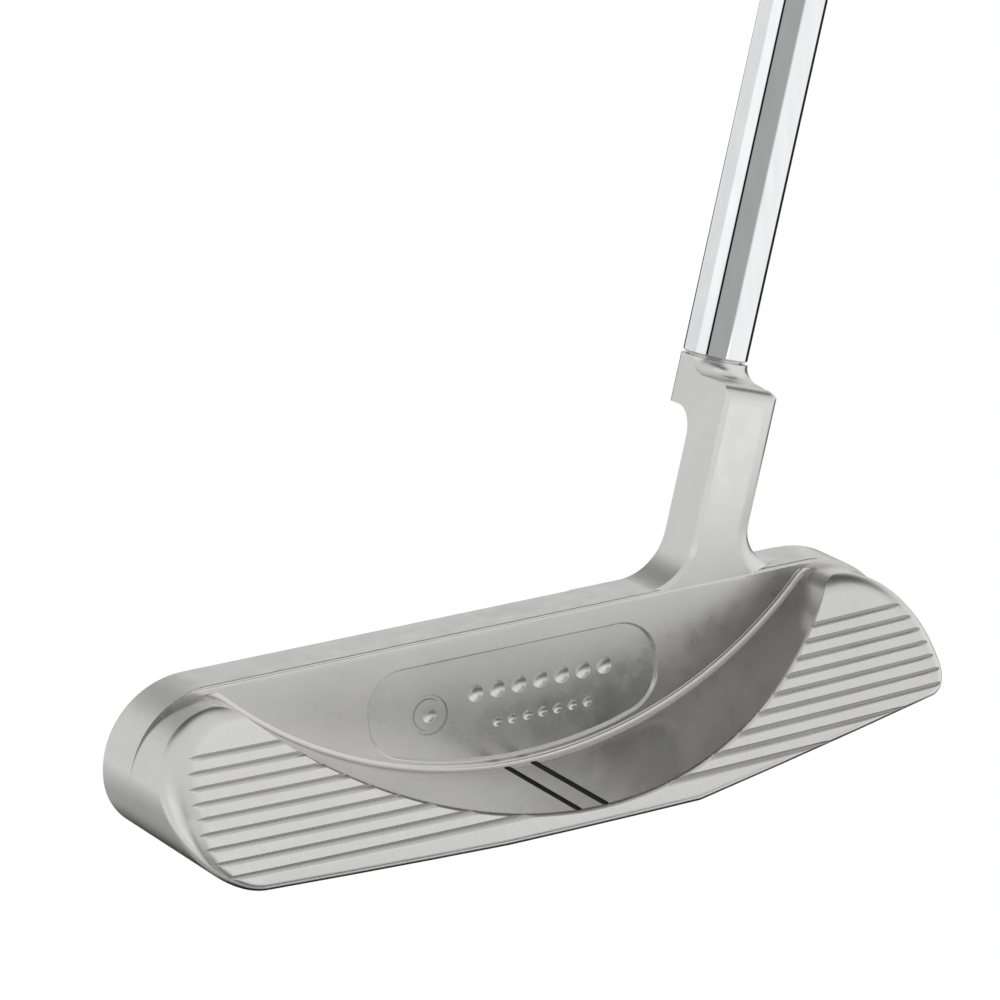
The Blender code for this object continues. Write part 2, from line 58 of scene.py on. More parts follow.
Place = Callable[[float, float, float], Vector]


class Marks(Enum):
    """Which way the cutter's marks run on a milled surface."""

    ALONG_ARC = (1.0, 26.0, 1.0)
    UPRIGHT = (26.0, 1.0, 1.0)
    CLOUDED = (1.0, 1.0, 1.0)


class Join(Enum):
    """How a second solid changes the first one."""

    ADD = "UNION"
    CUT = "DIFFERENCE"
    KEEP = "INTERSECT"


# --------------------------------------------------------------------------------------------------
# Finishes
# --------------------------------------------------------------------------------------------------


class Nodes:
    """A node tree whose nodes are added and wired in one call each."""

    def __init__(self, tree: bpy.types.NodeTree) -> None:
        """Takes a tree that exists.

        Args:
            tree: The tree.
        """
        self.tree = tree

    def add(self, kind: str, links: dict | None = None, **settings: object) -> bpy.types.Node:
        """Adds a node.

        Args:
            kind: The node's type name.
            links: Input name or index to a value, or to the output socket that feeds it.
            settings: Properties of the node.

        Returns:
            The new node.
        """
        node = self.tree.nodes.new(kind)
        for name, value in settings.items():
            setattr(node, name, value)
        for key, value in (links or {}).items():
            self.feed(node.inputs[key], value)
        return node

    def feed(self, socket: bpy.types.NodeSocket, value: object) -> None:
        """Links or sets one input.

        Args:
            socket: The input.
            value: An output socket, or a plain value.
        """
        if isinstance(value, bpy.types.NodeSocket):
            self.tree.links.new(value, socket)
        else:
            socket.default_value = value

    def compute(self, operation: str, first: object, second: object) -> bpy.types.NodeSocket:
        """Calculates with two numbers.

        Args:
            operation: What is done with them.
            first: An output socket, or a plain number.
            second: An output socket, or a plain number.

        Returns:
            The result as an output socket.
        """
        return self.add("ShaderNodeMath", {0: first, 1: second}, operation=operation).outputs[0]

    def vector(self, operation: str, *values: object) -> bpy.types.Node:
        """Calculates with one or two vectors.

        Args:
            operation: What is done with them.
            values: Output sockets, or plain vectors.

        Returns:
            The node, for its Vector or Value output.
        """
        return self.add("ShaderNodeVectorMath", dict(enumerate(values)), operation=operation)

    def ramp(self, value: object, start: float, end: float, gain: float = 1.0) -> bpy.types.NodeSocket:
        """Rises smoothly from 0 to the gain.

        Args:
            value: The number that drives it.
            start: Where it is 0.
            end: Where it is the gain.
            gain: Its highest result.

        Returns:
            The result as an output socket.
        """
        links = {"Value": value, "From Min": start, "From Max": end, "To Max": gain}
        return self.add("ShaderNodeMapRange", links, interpolation_type="SMOOTHSTEP").outputs[0]


class NodeSheet(Nodes):
    """The nodes of a material."""

    def __init__(self, name: str) -> None:
        """Starts an empty material with its Principled shader.

        Args:
            name: The material's name.
        """
        self.material = bpy.data.materials.new(name)
        self.material.use_nodes = True
        super().__init__(self.material.node_tree)
        self.shader = self.tree.nodes["Principled BSDF"]

    def shade(self, **inputs: object) -> None:
        """Feeds the shader.

        Args:
            inputs: Input name, with _ for a space, to a value or to the output socket that feeds it.
        """
        for name, value in inputs.items():
            self.feed(self.shader.inputs[name.replace("_", " ")], value)

    def place(self, scale: Sequence[float], turn: Sequence[float] = (0.0, 0.0, 0.0)) -> bpy.types.NodeSocket:
        """Gives object coordinates, stretched and turned.

        Args:
            scale: Stretch along each axis.
            turn: Turn about each axis in radians.

        Returns:
            The coordinates as an output socket.
        """
        where = self.add("ShaderNodeTexCoord").outputs["Object"]
        return self.add("ShaderNodeMapping", {"Vector": where, "Scale": scale, "Rotation": turn}).outputs[0]

    def noise(self, where: bpy.types.NodeSocket, scale: float, detail: float = 3.0) -> bpy.types.NodeSocket:
        """Adds a noise texture.

        Args:
            where: Its coordinates.
            scale: Cells per metre.
            detail: Octaves.

        Returns:
            Its value as an output socket.
        """
        links = {"Vector": where, "Scale": scale, "Detail": detail}
        return self.add("ShaderNodeTexNoise", links).outputs["Fac"]

    def span(self, value: bpy.types.NodeSocket, low: float, high: float) -> bpy.types.NodeSocket:
        """Maps a noise's useful range, 0.3 to 0.7, to low and high.

        Args:
            value: The noise.
            low: Result at 0.3.
            high: Result at 0.7.

        Returns:
            The result as an output socket.
        """
        links = {"Value": value, "From Min": 0.3, "From Max": 0.7, "To Min": low, "To Max": high}
        return self.add("ShaderNodeMapRange", links).outputs["Result"]

    def tint(self, value: bpy.types.NodeSocket, dark: Sequence[float], light: Sequence[float]) -> None:
        """Colours the shader between two tones.

        Args:
            value: The noise that picks the tone.
            dark: Tone at its low end.
            light: Tone at its high end.
        """
        mix = self.add("ShaderNodeMix", data_type="RGBA")
        self.feed(mix.inputs["Factor"], self.span(value, 0.0, 1.0))
        self.feed(mix.inputs["A"], (*dark, 1.0))
        self.feed(mix.inputs["B"], (*light, 1.0))
        self.shade(Base_Color=mix.outputs["Result"])

    def bump(
        self, height: bpy.types.NodeSocket, distance: float, under: bpy.types.NodeSocket | None = None
    ) -> bpy.types.NodeSocket:
        """Adds a bump of a real height.

        Args:
            height: The height, 0 to 1.
            distance: Metres from 0 to 1.
            under: The normal that it stands on, if any.

        Returns:
            The bumped normal.
        """
        links = {"Height": height, "Distance": distance, "Strength": 1.0}
        if under is not None:
            links["Normal"] = under
        return self.add("ShaderNodeBump", links).outputs["Normal"]


@dataclass(frozen=True)
class MilledSteel:
    """Satin stainless steel as a cutter leaves it."""

    name: str
    tone: tuple[float, float, float] = (0.675, 0.673, 0.662)
    roughness: float = 0.29
    marks: Marks = Marks.CLOUDED
    grain: float = 420.0
    grain_height: float = 0.0
    ticks: float = 0.0
    tick_height: float = 0.0

    def build(self) -> bpy.types.Material:
        """Makes the material.

        Returns:
            The material.
        """
        sheet = NodeSheet(self.name)
        cloud = sheet.noise(sheet.place((1.0, 1.0, 1.0)), 95.0, 4.0)
        grain = sheet.noise(sheet.place(self.marks.value), self.grain, 5.0)
        dark = tuple(c * 0.96 for c in self.tone)
        light = tuple(min(1.0, c * 1.03) for c in self.tone)
        sheet.tint(cloud, dark, light)
        patches = sheet.span(cloud, -0.03, 0.03)
        marks = sheet.span(grain, self.roughness - 0.03, self.roughness + 0.04)
        rough = sheet.compute("ADD", patches, marks)
        normal = sheet.bump(grain, self.grain_height) if self.grain_height else None
        if self.ticks:
            along, scale = sheet.place((1.0, 0.0, 0.0)), WAVE_PERIOD / (self.ticks * MM)
            links = {"Vector": along, "Scale": scale, "Distortion": 0.4}
            wave = sheet.add("ShaderNodeTexWave", links, bands_direction="X")
            normal = sheet.bump(wave.outputs["Fac"], self.tick_height, normal)
        if normal is not None:
            sheet.shade(Normal=normal)
        sheet.shade(Roughness=rough, Metallic=1.0)
        return sheet.material


@dataclass(frozen=True)
class ChromePlate:
    """Bright chrome with faint polishing haze."""

    name: str = "bright_chrome"

    def build(self) -> bpy.types.Material:
        """Makes the material.

        Returns:
            The material.
        """
        sheet = NodeSheet(self.name)
        haze = sheet.noise(sheet.place((1.0, 1.0, 0.12), (0.0, math.radians(18.0), 0.0)), 700.0)
        sheet.tint(haze, (0.80, 0.805, 0.815), (0.86, 0.862, 0.868))
        sheet.shade(Roughness=sheet.span(haze, 0.025, 0.05), Metallic=1.0)
        return sheet.material


@dataclass(frozen=True)
class Moulding:
    """A plain non-metal: rubber, paint, glue or paper."""

    name: str
    dark: tuple[float, float, float]
    light: tuple[float, float, float]
    roughness: float
    grain: float
    grain_height: float
    coat: float = 0.0
    specular: float = 0.5

    def build(self) -> bpy.types.Material:
        """Makes the material.

        Returns:
            The material.
        """
        sheet = NodeSheet(self.name)
        grain = sheet.noise(sheet.place((1.0, 1.0, 1.0)), self.grain, 4.0)
        sheet.tint(sheet.noise(sheet.place((1.0, 1.0, 1.0)), 60.0), self.dark, self.light)
        sheet.shade(
            Roughness=sheet.span(grain, self.roughness - 0.06, self.roughness + 0.06),
            Normal=sheet.bump(grain, self.grain_height),
            Coat_Weight=self.coat,
            Specular_IOR_Level=self.specular,
        )
        return sheet.material


# --------------------------------------------------------------------------------------------------
# Mesh tools
# --------------------------------------------------------------------------------------------------


def make_object(name: str, mesh: bpy.types.Mesh) -> bpy.types.Object:
    """Links a new object at the origin.

    Args:
        name: Its name.
        mesh: Its mesh.

    Returns:
        The object.
    """
    item = bpy.data.objects.new(name, mesh)
    bpy.context.scene.collection.objects.link(item)
    return item


def solid(name: str, points: Sequence[Vector], faces: Sequence[Sequence[int]]) -> bpy.types.Object:
    """Makes a closed object whose faces are turned outward.

    Args:
        name: Its name.
        points: Corners in millimetres.
        faces: Corner numbers of each face.

    Returns:
        The object.
    """
    mesh = bpy.data.meshes.new(name)
    mesh.from_pydata([tuple(p) for p in points], [], [tuple(f) for f in faces])
    work = bmesh.new()
    work.from_mesh(mesh)
    bmesh.ops.remove_doubles(work, verts=work.verts, dist=1e-5)
    bmesh.ops.recalc_face_normals(work, faces=work.faces)
    if work.calc_volume(signed=True) < 0:
        bmesh.ops.reverse_faces(work, faces=work.faces)
    work.to_mesh(mesh)
    work.free()
    return make_object(name, mesh)


def rings(name: str, loops: Sequence[Loop], closed: bool = False) -> bpy.types.Object:
    """Joins equal loops of points one after the other.

    Args:
        name: The object's name.
        loops: The loops.
        closed: Whether the last joins the first; otherwise both ends are capped.

    Returns:
        The object.
    """
    count, total = len(loops[0]), len(loops)
    points = [point for loop in loops for point in loop]
    faces: list[tuple[int, ...]] = []
    for ring in range(total if closed else total - 1):
        here, there = ring * count, (ring + 1) % total * count
        for i in range(count):
            j = (i + 1) % count
            faces.append((here + i, here + j, there + j, there + i))
    if not closed:
        faces.append(tuple(range(count)))
        faces.append(tuple(range(len(points) - 1, len(points) - count - 1, -1)))
    return solid(name, points, faces)


def slab(name: str, outline: Sequence[Pair], low: float, high: float, place: Place) -> bpy.types.Object:
    """Extrudes an outline.

    Args:
        name: The object's name.
        outline: Its (a, b) pairs.
        low: Where it starts.
        high: Where it ends.
        place: Maps (a, b, c) to a point.

    Returns:
        The object.
    """
    return rings(name, [[place(a, b, c) for a, b in outline] for c in (low, high)])


def turned(name: str, profile: Sequence[Pair], axes: Matrix, sides: int = 160) -> bpy.types.Object:
    """Turns a closed profile about an axis.

    Args:
        name: The object's name.
        profile: (radius, height) pairs.
        axes: Frame whose Z is the axis.
        sides: Steps round it.

    Returns:
        The object.
    """
    loops = []
    for k in range(sides):
        angle = 2 * math.pi * k / sides
        loops.append([axes @ Vector((r * math.cos(angle), r * math.sin(angle), h)) for r, h in profile])
    return rings(name, loops, closed=True)


def combine(target: bpy.types.Object, tool: bpy.types.Object, join: Join) -> None:
    """Joins a tool solid to a target, or cuts with it, and removes the tool.

    Args:
        target: The solid that stays.
        tool: The other solid; its material goes to the faces that it makes.
        join: What happens.
    """
    step = target.modifiers.new("join", "BOOLEAN")
    step.solver = "EXACT"
    step.operation = join.value
    step.object = tool
    step.material_mode = "TRANSFER"
    bake(target)
    bpy.data.objects.remove(tool, do_unlink=True)


def bake(item: bpy.types.Object) -> None:
    """Turns an object's modifiers into its mesh.

    Args:
        item: The object.
    """
    shaped = item.evaluated_get(bpy.context.evaluated_depsgraph_get())
    mesh = bpy.data.meshes.new_from_object(shaped)
    item.modifiers.clear()
    item.data = mesh


def wear(item: bpy.types.Object, *materials: bpy.types.Material) -> bpy.types.Object:
    """Gives an object its material slots.

    Args:
        item: The object.
        materials: The materials, the first for every face.

    Returns:
        The same object.
    """
    item.data.materials.clear()
    for material in materials:
        item.data.materials.append(material)
    return item


def arc(cx: float, cy: float, radius: float, start: float, end: float, steps: int) -> list[Pair]:
    """Gives points of an arc.

    Args:
        cx: Centre, first coordinate.
        cy: Centre, second coordinate.
        radius: Radius.
        start: First angle in degrees.
        end: Last angle in degrees.
        steps: Number of steps.

    Returns:
        The points, both ends included.
    """
    points = []
    for k in range(steps + 1):
        angle = math.radians(start + (end - start) * k / steps)
        points.append((cx + radius * math.cos(angle), cy + radius * math.sin(angle)))
    return points


def rounded(corners: Sequence[Pair], radii: Sequence[float], steps: int = 16) -> list[Pair]:
    """Rounds the corners of a polygon.

    Args:
        corners: The polygon.
        radii: One radius for each corner; 0 leaves it sharp.
        steps: Steps in each arc.

    Returns:
        The rounded outline.
    """
    points: list[Pair] = []
    for i, corner in enumerate(corners):
        here = Vector(corner)
        if radii[i] == 0.0:
            points.append(tuple(here))
            continue
        before = (Vector(corners[i - 1]) - here).normalized()
        after = (Vector(corners[(i + 1) % len(corners)]) - here).normalized()
        half = before.angle(after) / 2
        centre = here + (before + after).normalized() * radii[i] / math.sin(half)
        first = here + before * radii[i] / math.tan(half) - centre
        last = here + after * radii[i] / math.tan(half) - centre
        turn = first.angle_signed(last)
        for k in range(steps + 1):
            points.append(tuple(centre + Matrix.Rotation(-turn * k / steps, 2) @ first))
    return points


def inset(outline: Sequence[Pair], amounts: Sequence[float]) -> list[Pair]:
    """Moves each point of an anticlockwise outline inward.

    Args:
        outline: The outline.
        amounts: How far each point goes.

    Returns:
        The moved outline.
    """
    moved = []
    for i, point in enumerate(outline):
        here = Vector(point)
        before = here - Vector(outline[i - 1])
        after = Vector(outline[(i + 1) % len(outline)]) - here
        first = Vector((-before.y, before.x)).normalized()
        second = Vector((-after.y, after.x)).normalized()
        mitre = first + second
        moved.append(tuple(here + mitre * amounts[i] * 2 / mitre.length_squared))
    return moved


def holds(outline: Sequence[Pair], point: Vector) -> bool:
    """Tells whether a point is inside a closed outline.

    Args:
        outline: The outline.
        point: The point.

    Returns:
        True if it is inside.
    """
    hits = 0
    for i, (ax, ay) in enumerate(outline):
        bx, by = outline[i - 1]
        if (ay > point.y) != (by > point.y) and point.x < (bx - ax) * (point.y - ay) / (by - ay) + ax:
            hits += 1
    return hits % 2 == 1


def polish(item: bpy.types.Object, name: str, sharp: float = 28.0) -> bpy.types.Object:
    """Scales an object to metres, names it and shades it smooth between its sharp edges.

    Args:
        item: The object.
        name: Its final name.
        sharp: Edges over this angle stay sharp, in degrees.

    Returns:
        The same object.
    """
    work = bmesh.new()
    work.from_mesh(item.data)
    bmesh.ops.dissolve_degenerate(work, edges=work.edges, dist=1e-4)
    bmesh.ops.remove_doubles(work, verts=work.verts, dist=1e-4)
    bmesh.ops.scale(work, vec=(MM, MM, MM), verts=work.verts)
    work.to_mesh(item.data)
    work.free()
    item.name = item.data.name = name
    item.data.polygons.foreach_set("use_smooth", [True] * len(item.data.polygons))
    item.data.set_sharp_from_angle(angle=math.radians(sharp))
    weigh = item.modifiers.new("even_shading", "WEIGHTED_NORMAL")
    weigh.keep_sharp = True
    weigh.weight = 60
    return item


# --------------------------------------------------------------------------------------------------
# Repeats
# --------------------------------------------------------------------------------------------------


class Repeater(Nodes):
    """A Geometry Nodes tree and the modifier inputs that it takes."""

    def __init__(self, name: str) -> None:
        """Starts an empty tree with a geometry in and out.

        Args:
            name: The tree's name.
        """
        super().__init__(bpy.data.node_groups.new(name, "GeometryNodeTree"))
        self.keys: dict[str, str] = {}
        self.tree.interface.new_socket("Geometry", in_out="INPUT", socket_type="NodeSocketGeometry")
        self.tree.interface.new_socket("Geometry", in_out="OUTPUT", socket_type="NodeSocketGeometry")
        self.entry = self.tree.nodes.new("NodeGroupInput")
        self.exit = self.tree.nodes.new("NodeGroupOutput")

    def ask(self, name: str, kind: str) -> None:
        """Adds a named input.

        Args:
            name: Its name.
            kind: Its socket type.
        """
        made = self.tree.interface.new_socket(name, in_out="INPUT", socket_type=kind)
        self.keys[name] = made.identifier

    def end(self, instances: bpy.types.NodeSocket) -> None:
        """Makes the instances real, gives them their finish and sends them out.

        Args:
            instances: The instances.
        """
        real = self.add("GeometryNodeRealizeInstances", {"Geometry": instances}).outputs[0]
        links = {"Geometry": real, "Material": self.entry.outputs["Finish"]}
        dressed = self.add("GeometryNodeSetMaterial", links).outputs[0]
        self.feed(self.exit.inputs[0], dressed)

    def run(self, host: bpy.types.Object, **values: object) -> bpy.types.Object:
        """Runs the tree on an object and keeps the result as its mesh.

        Args:
            host: The object.
            values: A value for each named input.

        Returns:
            The same object.
        """
        step = host.modifiers.new("repeat", "NODES")
        step.node_group = self.tree
        for name, value in values.items():
            step[self.keys[name]] = value
        bake(host)
        return host


def row_repeater() -> Repeater:
    """Makes the tree that sets copies of a shape in a straight row.

    Returns:
        The tree, with inputs Count, Start, Step, Shape and Finish.
    """
    made = Repeater("row_of_copies")
    for name, kind in (("Count", "Int"), ("Start", "Vector"), ("Step", "Vector")):
        made.ask(name, "NodeSocket" + kind)
    made.ask("Shape", "NodeSocketObject")
    made.ask("Finish", "NodeSocketMaterial")
    out = made.entry.outputs
    links = {"Count": out["Count"], "Start Location": out["Start"], "Offset": out["Step"]}
    line = made.add("GeometryNodeMeshLine", links).outputs[0]
    shape = made.add("GeometryNodeObjectInfo", {"Object": out["Shape"]}).outputs["Geometry"]
    copies = made.add("GeometryNodeInstanceOnPoints", {"Points": line, "Instance": shape})
    made.end(copies.outputs[0])
    return made


def stud_repeater() -> Repeater:
    """Makes the tree that stands a shape on every point of a sheet, along the sheet's own normals.

    Returns:
        The tree, with inputs Shape, Size, Spread, Seed and Finish.
    """
    made = Repeater("studs_on_a_sheet")
    made.ask("Shape", "NodeSocketObject")
    for name, kind in (("Size", "Float"), ("Spread", "Float"), ("Seed", "Int")):
        made.ask(name, "NodeSocket" + kind)
    made.ask("Finish", "NodeSocketMaterial")
    out = made.entry.outputs
    shape = made.add("GeometryNodeObjectInfo", {"Object": out["Shape"]}).outputs["Geometry"]
    normal = made.add("GeometryNodeInputNormal").outputs[0]
    stand = made.add("FunctionNodeAlignRotationToVector", {"Vector": normal}, axis="Z").outputs[0]
    low = made.compute("SUBTRACT", out["Size"], out["Spread"])
    links = {"Seed": out["Seed"], 2: low, 3: out["Size"]}
    size = made.add("FunctionNodeRandomValue", links, data_type="FLOAT")
    links = {"Points": out["Geometry"], "Instance": shape, "Rotation": stand, "Scale": size.outputs[1]}
    copies = made.add("GeometryNodeInstanceOnPoints", links)
    made.end(copies.outputs[0])
    return made


# --------------------------------------------------------------------------------------------------
# Shaft line
# --------------------------------------------------------------------------------------------------


@dataclass
class ShaftLine:
    """The axis that the neck, shaft and grip share, measured from the height of the topline."""

    lie: float = 72.0
    x: float = -31.1
    y: float = -21.45
    z: float = 22.5
    tip: float = 9.4
    butt: float = 15.0
    wall: float = 0.6
    fit: float = 0.05
    rim: float = 29.6
    seat_gap: float = 0.3
    parallel: float = 300.0
    taper: float = 230.0
    club_length: float = 863.6
    grip_length: float = 267.0
    cap: float = 4.0
    axes: Matrix = field(init=False)

    def __post_init__(self) -> None:
        """Works out the frame whose Z runs up the shaft and whose X points to the toe."""
        angle = math.radians(self.lie)
        turn = Matrix.Rotation(angle - math.pi / 2, 4, "Y")
        self.axes = Matrix.Translation((self.x, self.y, self.z)) @ turn

    @property
    def low(self) -> float:
        """Lower end of the shaft."""
        return self.rim + self.seat_gap

    @property
    def grip_end(self) -> float:
        """Top of the grip's cap."""
        return self.club_length - self.z / math.sin(math.radians(self.lie))

    @property
    def grip_start(self) -> float:
        """The grip's mouth."""
        return self.grip_end - self.grip_length

    @property
    def high(self) -> float:
        """Upper end of the shaft."""
        return self.grip_end - self.cap - self.seat_gap

    def at(self, v: float, y: float, t: float) -> Vector:
        """Gives a point.

        Args:
            v: Distance toward the toe.
            y: Distance toward the back.
            t: Distance along the axis.

        Returns:
            The point in head axes.
        """
        return self.axes @ Vector((v, y, t))

    def radius(self, t: float) -> float:
        """Gives the shaft's outside radius.

        Args:
            t: Distance along the axis.

        Returns:
            The radius.
        """
        share = min(1.0, max(0.0, (t - self.low - self.parallel) / self.taper))
        return self.tip / 2 + (self.butt - self.tip) / 2 * share


# --------------------------------------------------------------------------------------------------
# Head
# --------------------------------------------------------------------------------------------------


@dataclass
class PutterHead:
    """The one-piece milled head with its neck, scoop, badge recess, grooves and sight lines."""

    line: ShaftLine
    length: float = 119.0
    height: float = 22.5
    depth: float = 33.7
    top_corner: float = 12.5
    heel_top_corner: float = 13.2
    toe_corner: float = 9.0
    heel_corner: float = 4.2
    toe_relief: Pair = (16.0, 1.3)
    heel_relief: Pair = (14.0, 6.8)
    end_taper: float = 1.5
    plate: float = 8.9
    loft: float = 3.0
    step: float = 1.1
    rear_lean: float = 37.0
    rear_bow: float = 745.0
    rear_fillet: float = 4.2
    heel_fillet: float = 2.4
    top_fillet: float = 2.0
    sole_fillet: float = 0.9
    face_break: float = 0.4
    topline_break: float = 0.45
    scoop_radius: float = 64.0
    scoop_x: float = 0.6
    scoop_floor: float = 2.1
    scoop_shoulder: float = 5.0
    scoop_fillet: float = 0.8
    scoop_lip: float = 1.0
    badge_width: float = 44.6
    badge_offset: float = 1.6
    badge_top: float = 3.5
    badge_margin: float = 1.3
    badge_corner: float = 5.5
    badge_depth: float = 0.6
    badge_draft: float = 0.22
    badge_lip: tuple[Pair, ...] = ((0.0, -0.18), (0.05, -0.07), (0.16, 0.0), (0.16, 1.0))
    dimple_rows: tuple[tuple[int, float, float, float], ...] = ((7, 1.25, 3.35, 13.3), (7, 0.78, 2.35, 8.6))
    dimple_middle: float = -2.7
    dimple_depth: float = 0.28
    ring_place: Pair = (14.6, 11.6)
    ring_section: tuple[Pair, ...] = ((2.35, -0.28), (2.75, -0.28), (3.05, 0.3), (2.05, 0.3))
    ring_dot: float = 1.1
    grooves: int = 9
    groove_first: float = 6.0
    groove_pitch: float = 1.70
    groove_width: float = 1.1
    groove_depth: float = 0.30
    groove_wall: float = 0.22
    sights: Pair = (4.1, 0.0)
    sight_width: float = 1.08
    sight_depth: float = 0.6
    paint_sink: float = 0.12
    paint_gap: float = 0.02
    neck_width: float = 9.2
    neck_sink: float = 0.02
    neck_toe_fillet: float = 8.5
    neck_heel_fillet: float = 5.0
    neck_back_round: float = 3.0
    neck_toe_round: float = 0.8
    neck_toe_bevel: float = 0.62
    rim_ledge: float = 0.16
    boss_bottom: float = 22.4
    boss_notch: float = 4.0
    flare: float = 2.2
    shoulder_round: float = 2.5
    neck_corner: float = 1.8
    post: float = 25.0
    bond: float = 0.2

    def __post_init__(self) -> None:
        """Makes the finishes that the head wears."""
        self.satin = MilledSteel("satin_steel").build()
        self.rear = MilledSteel(
            "milled_rear_steel", marks=Marks.UPRIGHT, grain_height=1.2e-6, ticks=0.42, tick_height=9e-6
        ).build()
        self.brushed = MilledSteel(
            "brushed_scoop_steel", tone=(0.62, 0.615, 0.602), roughness=0.22, marks=Marks.ALONG_ARC,
            grain=170.0, grain_height=6e-6,
        ).build()
        self.recess = MilledSteel("recess_steel", tone=(0.66, 0.66, 0.655), roughness=0.26).build()
        # The groove steel's tone is darker than the satin steel's: painted shade in the grooves.
        self.shaded_furrow = MilledSteel(
            "groove_steel_painted_shade", tone=(0.6, 0.598, 0.588), marks=Marks.UPRIGHT, ticks=0.42, tick_height=6e-6
        ).build()
        self.paint = Moulding(
            "sight_line_enamel", (0.006, 0.006, 0.006), (0.012, 0.012, 0.012), 0.6, 2500.0, 2e-6,
            specular=0.08,
        ).build()

    @property
    def half(self) -> float:
        """Half the head's length."""
        return self.length / 2

    @property
    def face(self) -> float:
        """Front edge of the topline."""
        return -self.depth / 2

    @property
    def back(self) -> float:
        """Back of the striking plate."""
        return self.face + self.plate

    def face_y(self, z: float) -> float:
        """Gives the lofted face.

        Args:
            z: Height.

        Returns:
            Its y.
        """
        return self.face - (self.height - z) * math.tan(math.radians(self.loft))

    def rear_y(self, x: float, z: float) -> float:
        """Gives the leaning, bowed rear face.

        Args:
            x: Place along the head.
            z: Height.

        Returns:
            Its y.
        """
        return -self.face - math.tan(math.radians(self.rear_lean)) * z - x * x / (2 * self.rear_bow)

    def tapered(self, x: float, y: float, z: float) -> Vector:
        """Draws the ends in toward the back.

        Args:
            x: Place along the head.
            y: Depth.
            z: Height.

        Returns:
            The point.
        """
        return Vector((x * (1 - (y - self.face) / self.depth * self.end_taper / self.half), y, z))

    def outline(self, drop: float) -> list[Pair]:
        """Gives the head's outline seen from the back.

        Args:
            drop: How far its top and its upper corners are lowered.

        Returns:
            (x, z) pairs, anticlockwise from the sole.
        """
        toe_start, toe_angle = self.toe_relief
        heel_start, heel_angle = self.heel_relief
        toe_rise = (self.half - toe_start) * math.tan(math.radians(toe_angle))
        heel_rise = (self.half - heel_start) * math.tan(math.radians(heel_angle))
        top = self.height - drop
        corners = [
            (-heel_start, 0.0), (toe_start, 0.0), (self.half, toe_rise),
            (self.half, top), (-self.half, top), (-self.half, heel_rise),
        ]
        uppers = [self.top_corner - drop, self.heel_top_corner - drop]
        radii = [0.0, 0.0, self.toe_corner, *uppers, self.heel_corner]
        bend = rounded(corners, radii, steps=28)
        points: list[Pair] = []
        for here, there in zip(bend, bend[1:] + bend[:1]):
            length = (Vector(there) - Vector(here)).length
            pieces = 1 + 2 * int(length > 14.0) + 6 * int(length > 60.0)
            points += [tuple(Vector(here).lerp(Vector(there), k / pieces)) for k in range(pieces)]
        return points

    def fillet(self, x: float, rise: float) -> float:
        """Gives the rounding of the rear face.

        Args:
            x: Place along the head.
            rise: Upward part of the edge's inward normal.

        Returns:
            The radius.
        """
        side = self.rear_fillet if x > 0 else self.heel_fillet
        if rise > 0:
            return side + (self.sole_fillet - side) * rise
        return side + (self.top_fillet - side) * rise**2

    def blank(self) -> bpy.types.Object:
        """Makes the head before its cuts: plate, bumper step and pillow-edged rear face.

        Returns:
            The blank.
        """
        plate, bumper = self.outline(0.0), self.outline(self.step)
        count = len(bumper)
        trim, fold = self.face_break, self.topline_break
        crest = []
        for k in range(7):
            turn = math.pi / 2 * k / 6
            top, y = self.height - fold * (1 - math.cos(turn)), self.back - fold * (1 - math.sin(turn))
            crest.append([self.tapered(x, y, min(z, top)) for x, z in plate])
        loops = [
            [self.tapered(x, self.face_y(z), z) for x, z in inset(plate, [trim] * count)],
            [self.tapered(x, self.face_y(z) + trim, z) for x, z in plate],
            *crest,
            [self.tapered(x, self.back, z) for x, z in bumper],
        ]
        radii = []
        for (x, z), (ux, uz) in zip(bumper, inset(bumper, [1.0] * count)):
            radii.append(self.fillet(x, (uz - z) / math.hypot(ux - x, uz - z)))
        steps = 20
        for k in range(steps + 1):
            turn = math.pi / 2 * k / steps
            share = 1 - math.cos(turn)
            points = inset(bumper, [share * r for r in radii])
            drops = [r * (1 - math.sin(turn)) for r in radii]
            loops.append([self.tapered(x, self.rear_y(x, z) - d, z) for (x, z), d in zip(points, drops)])

        vertices = [point for loop in loops for point in loop]
        faces: list[tuple[int, ...]] = [tuple(range(count))]
        for k in range(len(loops) - 1):
            for i in range(count):
                j = (i + 1) % count
                faces.append((k * count + i, k * count + j, (k + 1) * count + j, (k + 1) * count + i))
        inner = [Vector(p) for p in points]
        cuts = [(i, (i + 1) % count) for i in range(count)]
        low, high = min(p.y for p in inner), max(p.y for p in inner)
        heel_start, heel_angle = self.heel_relief
        # Upright seams on each side of the middle keep the bow; the head's end would be number 12.6.
        seams, widest = 10, 12.6
        for seam in range(-seams, seams + 1):
            x = self.half * seam / widest
            rise = max(0.0, -x - heel_start) * math.tan(math.radians(heel_angle))
            cuts.append((len(inner), len(inner) + 1))
            inner += [Vector((x, low + rise + 1.5)), Vector((x, high - 1.0))]
        flat, _, tiles, origins, _, _ = delaunay_2d_cdt(inner, cuts, [list(range(count))], 2, 1e-6)
        index = {}
        for n, sources in enumerate(origins):
            for source in sources:
                if source < count:
                    index[n] = (len(loops) - 1) * count + source
        for tile in tiles:
            if not holds(points, sum((flat[n] for n in tile), Vector((0.0, 0.0))) / len(tile)):
                continue
            for n in tile:
                if n not in index:
                    index[n] = len(vertices)
                    vertices.append(self.tapered(flat[n].x, self.rear_y(flat[n].x, flat[n].y), flat[n].y))
            faces.append(tuple(index[n] for n in tile))
        blank = wear(solid("blank", vertices, faces), self.satin, self.rear)
        lean, nearly_parallel = math.radians(self.rear_lean), 0.993
        for polygon in blank.data.polygons:
            if polygon.normal.y * math.cos(lean) + polygon.normal.z * math.sin(lean) > nearly_parallel:
                polygon.material_index = 1
        return blank

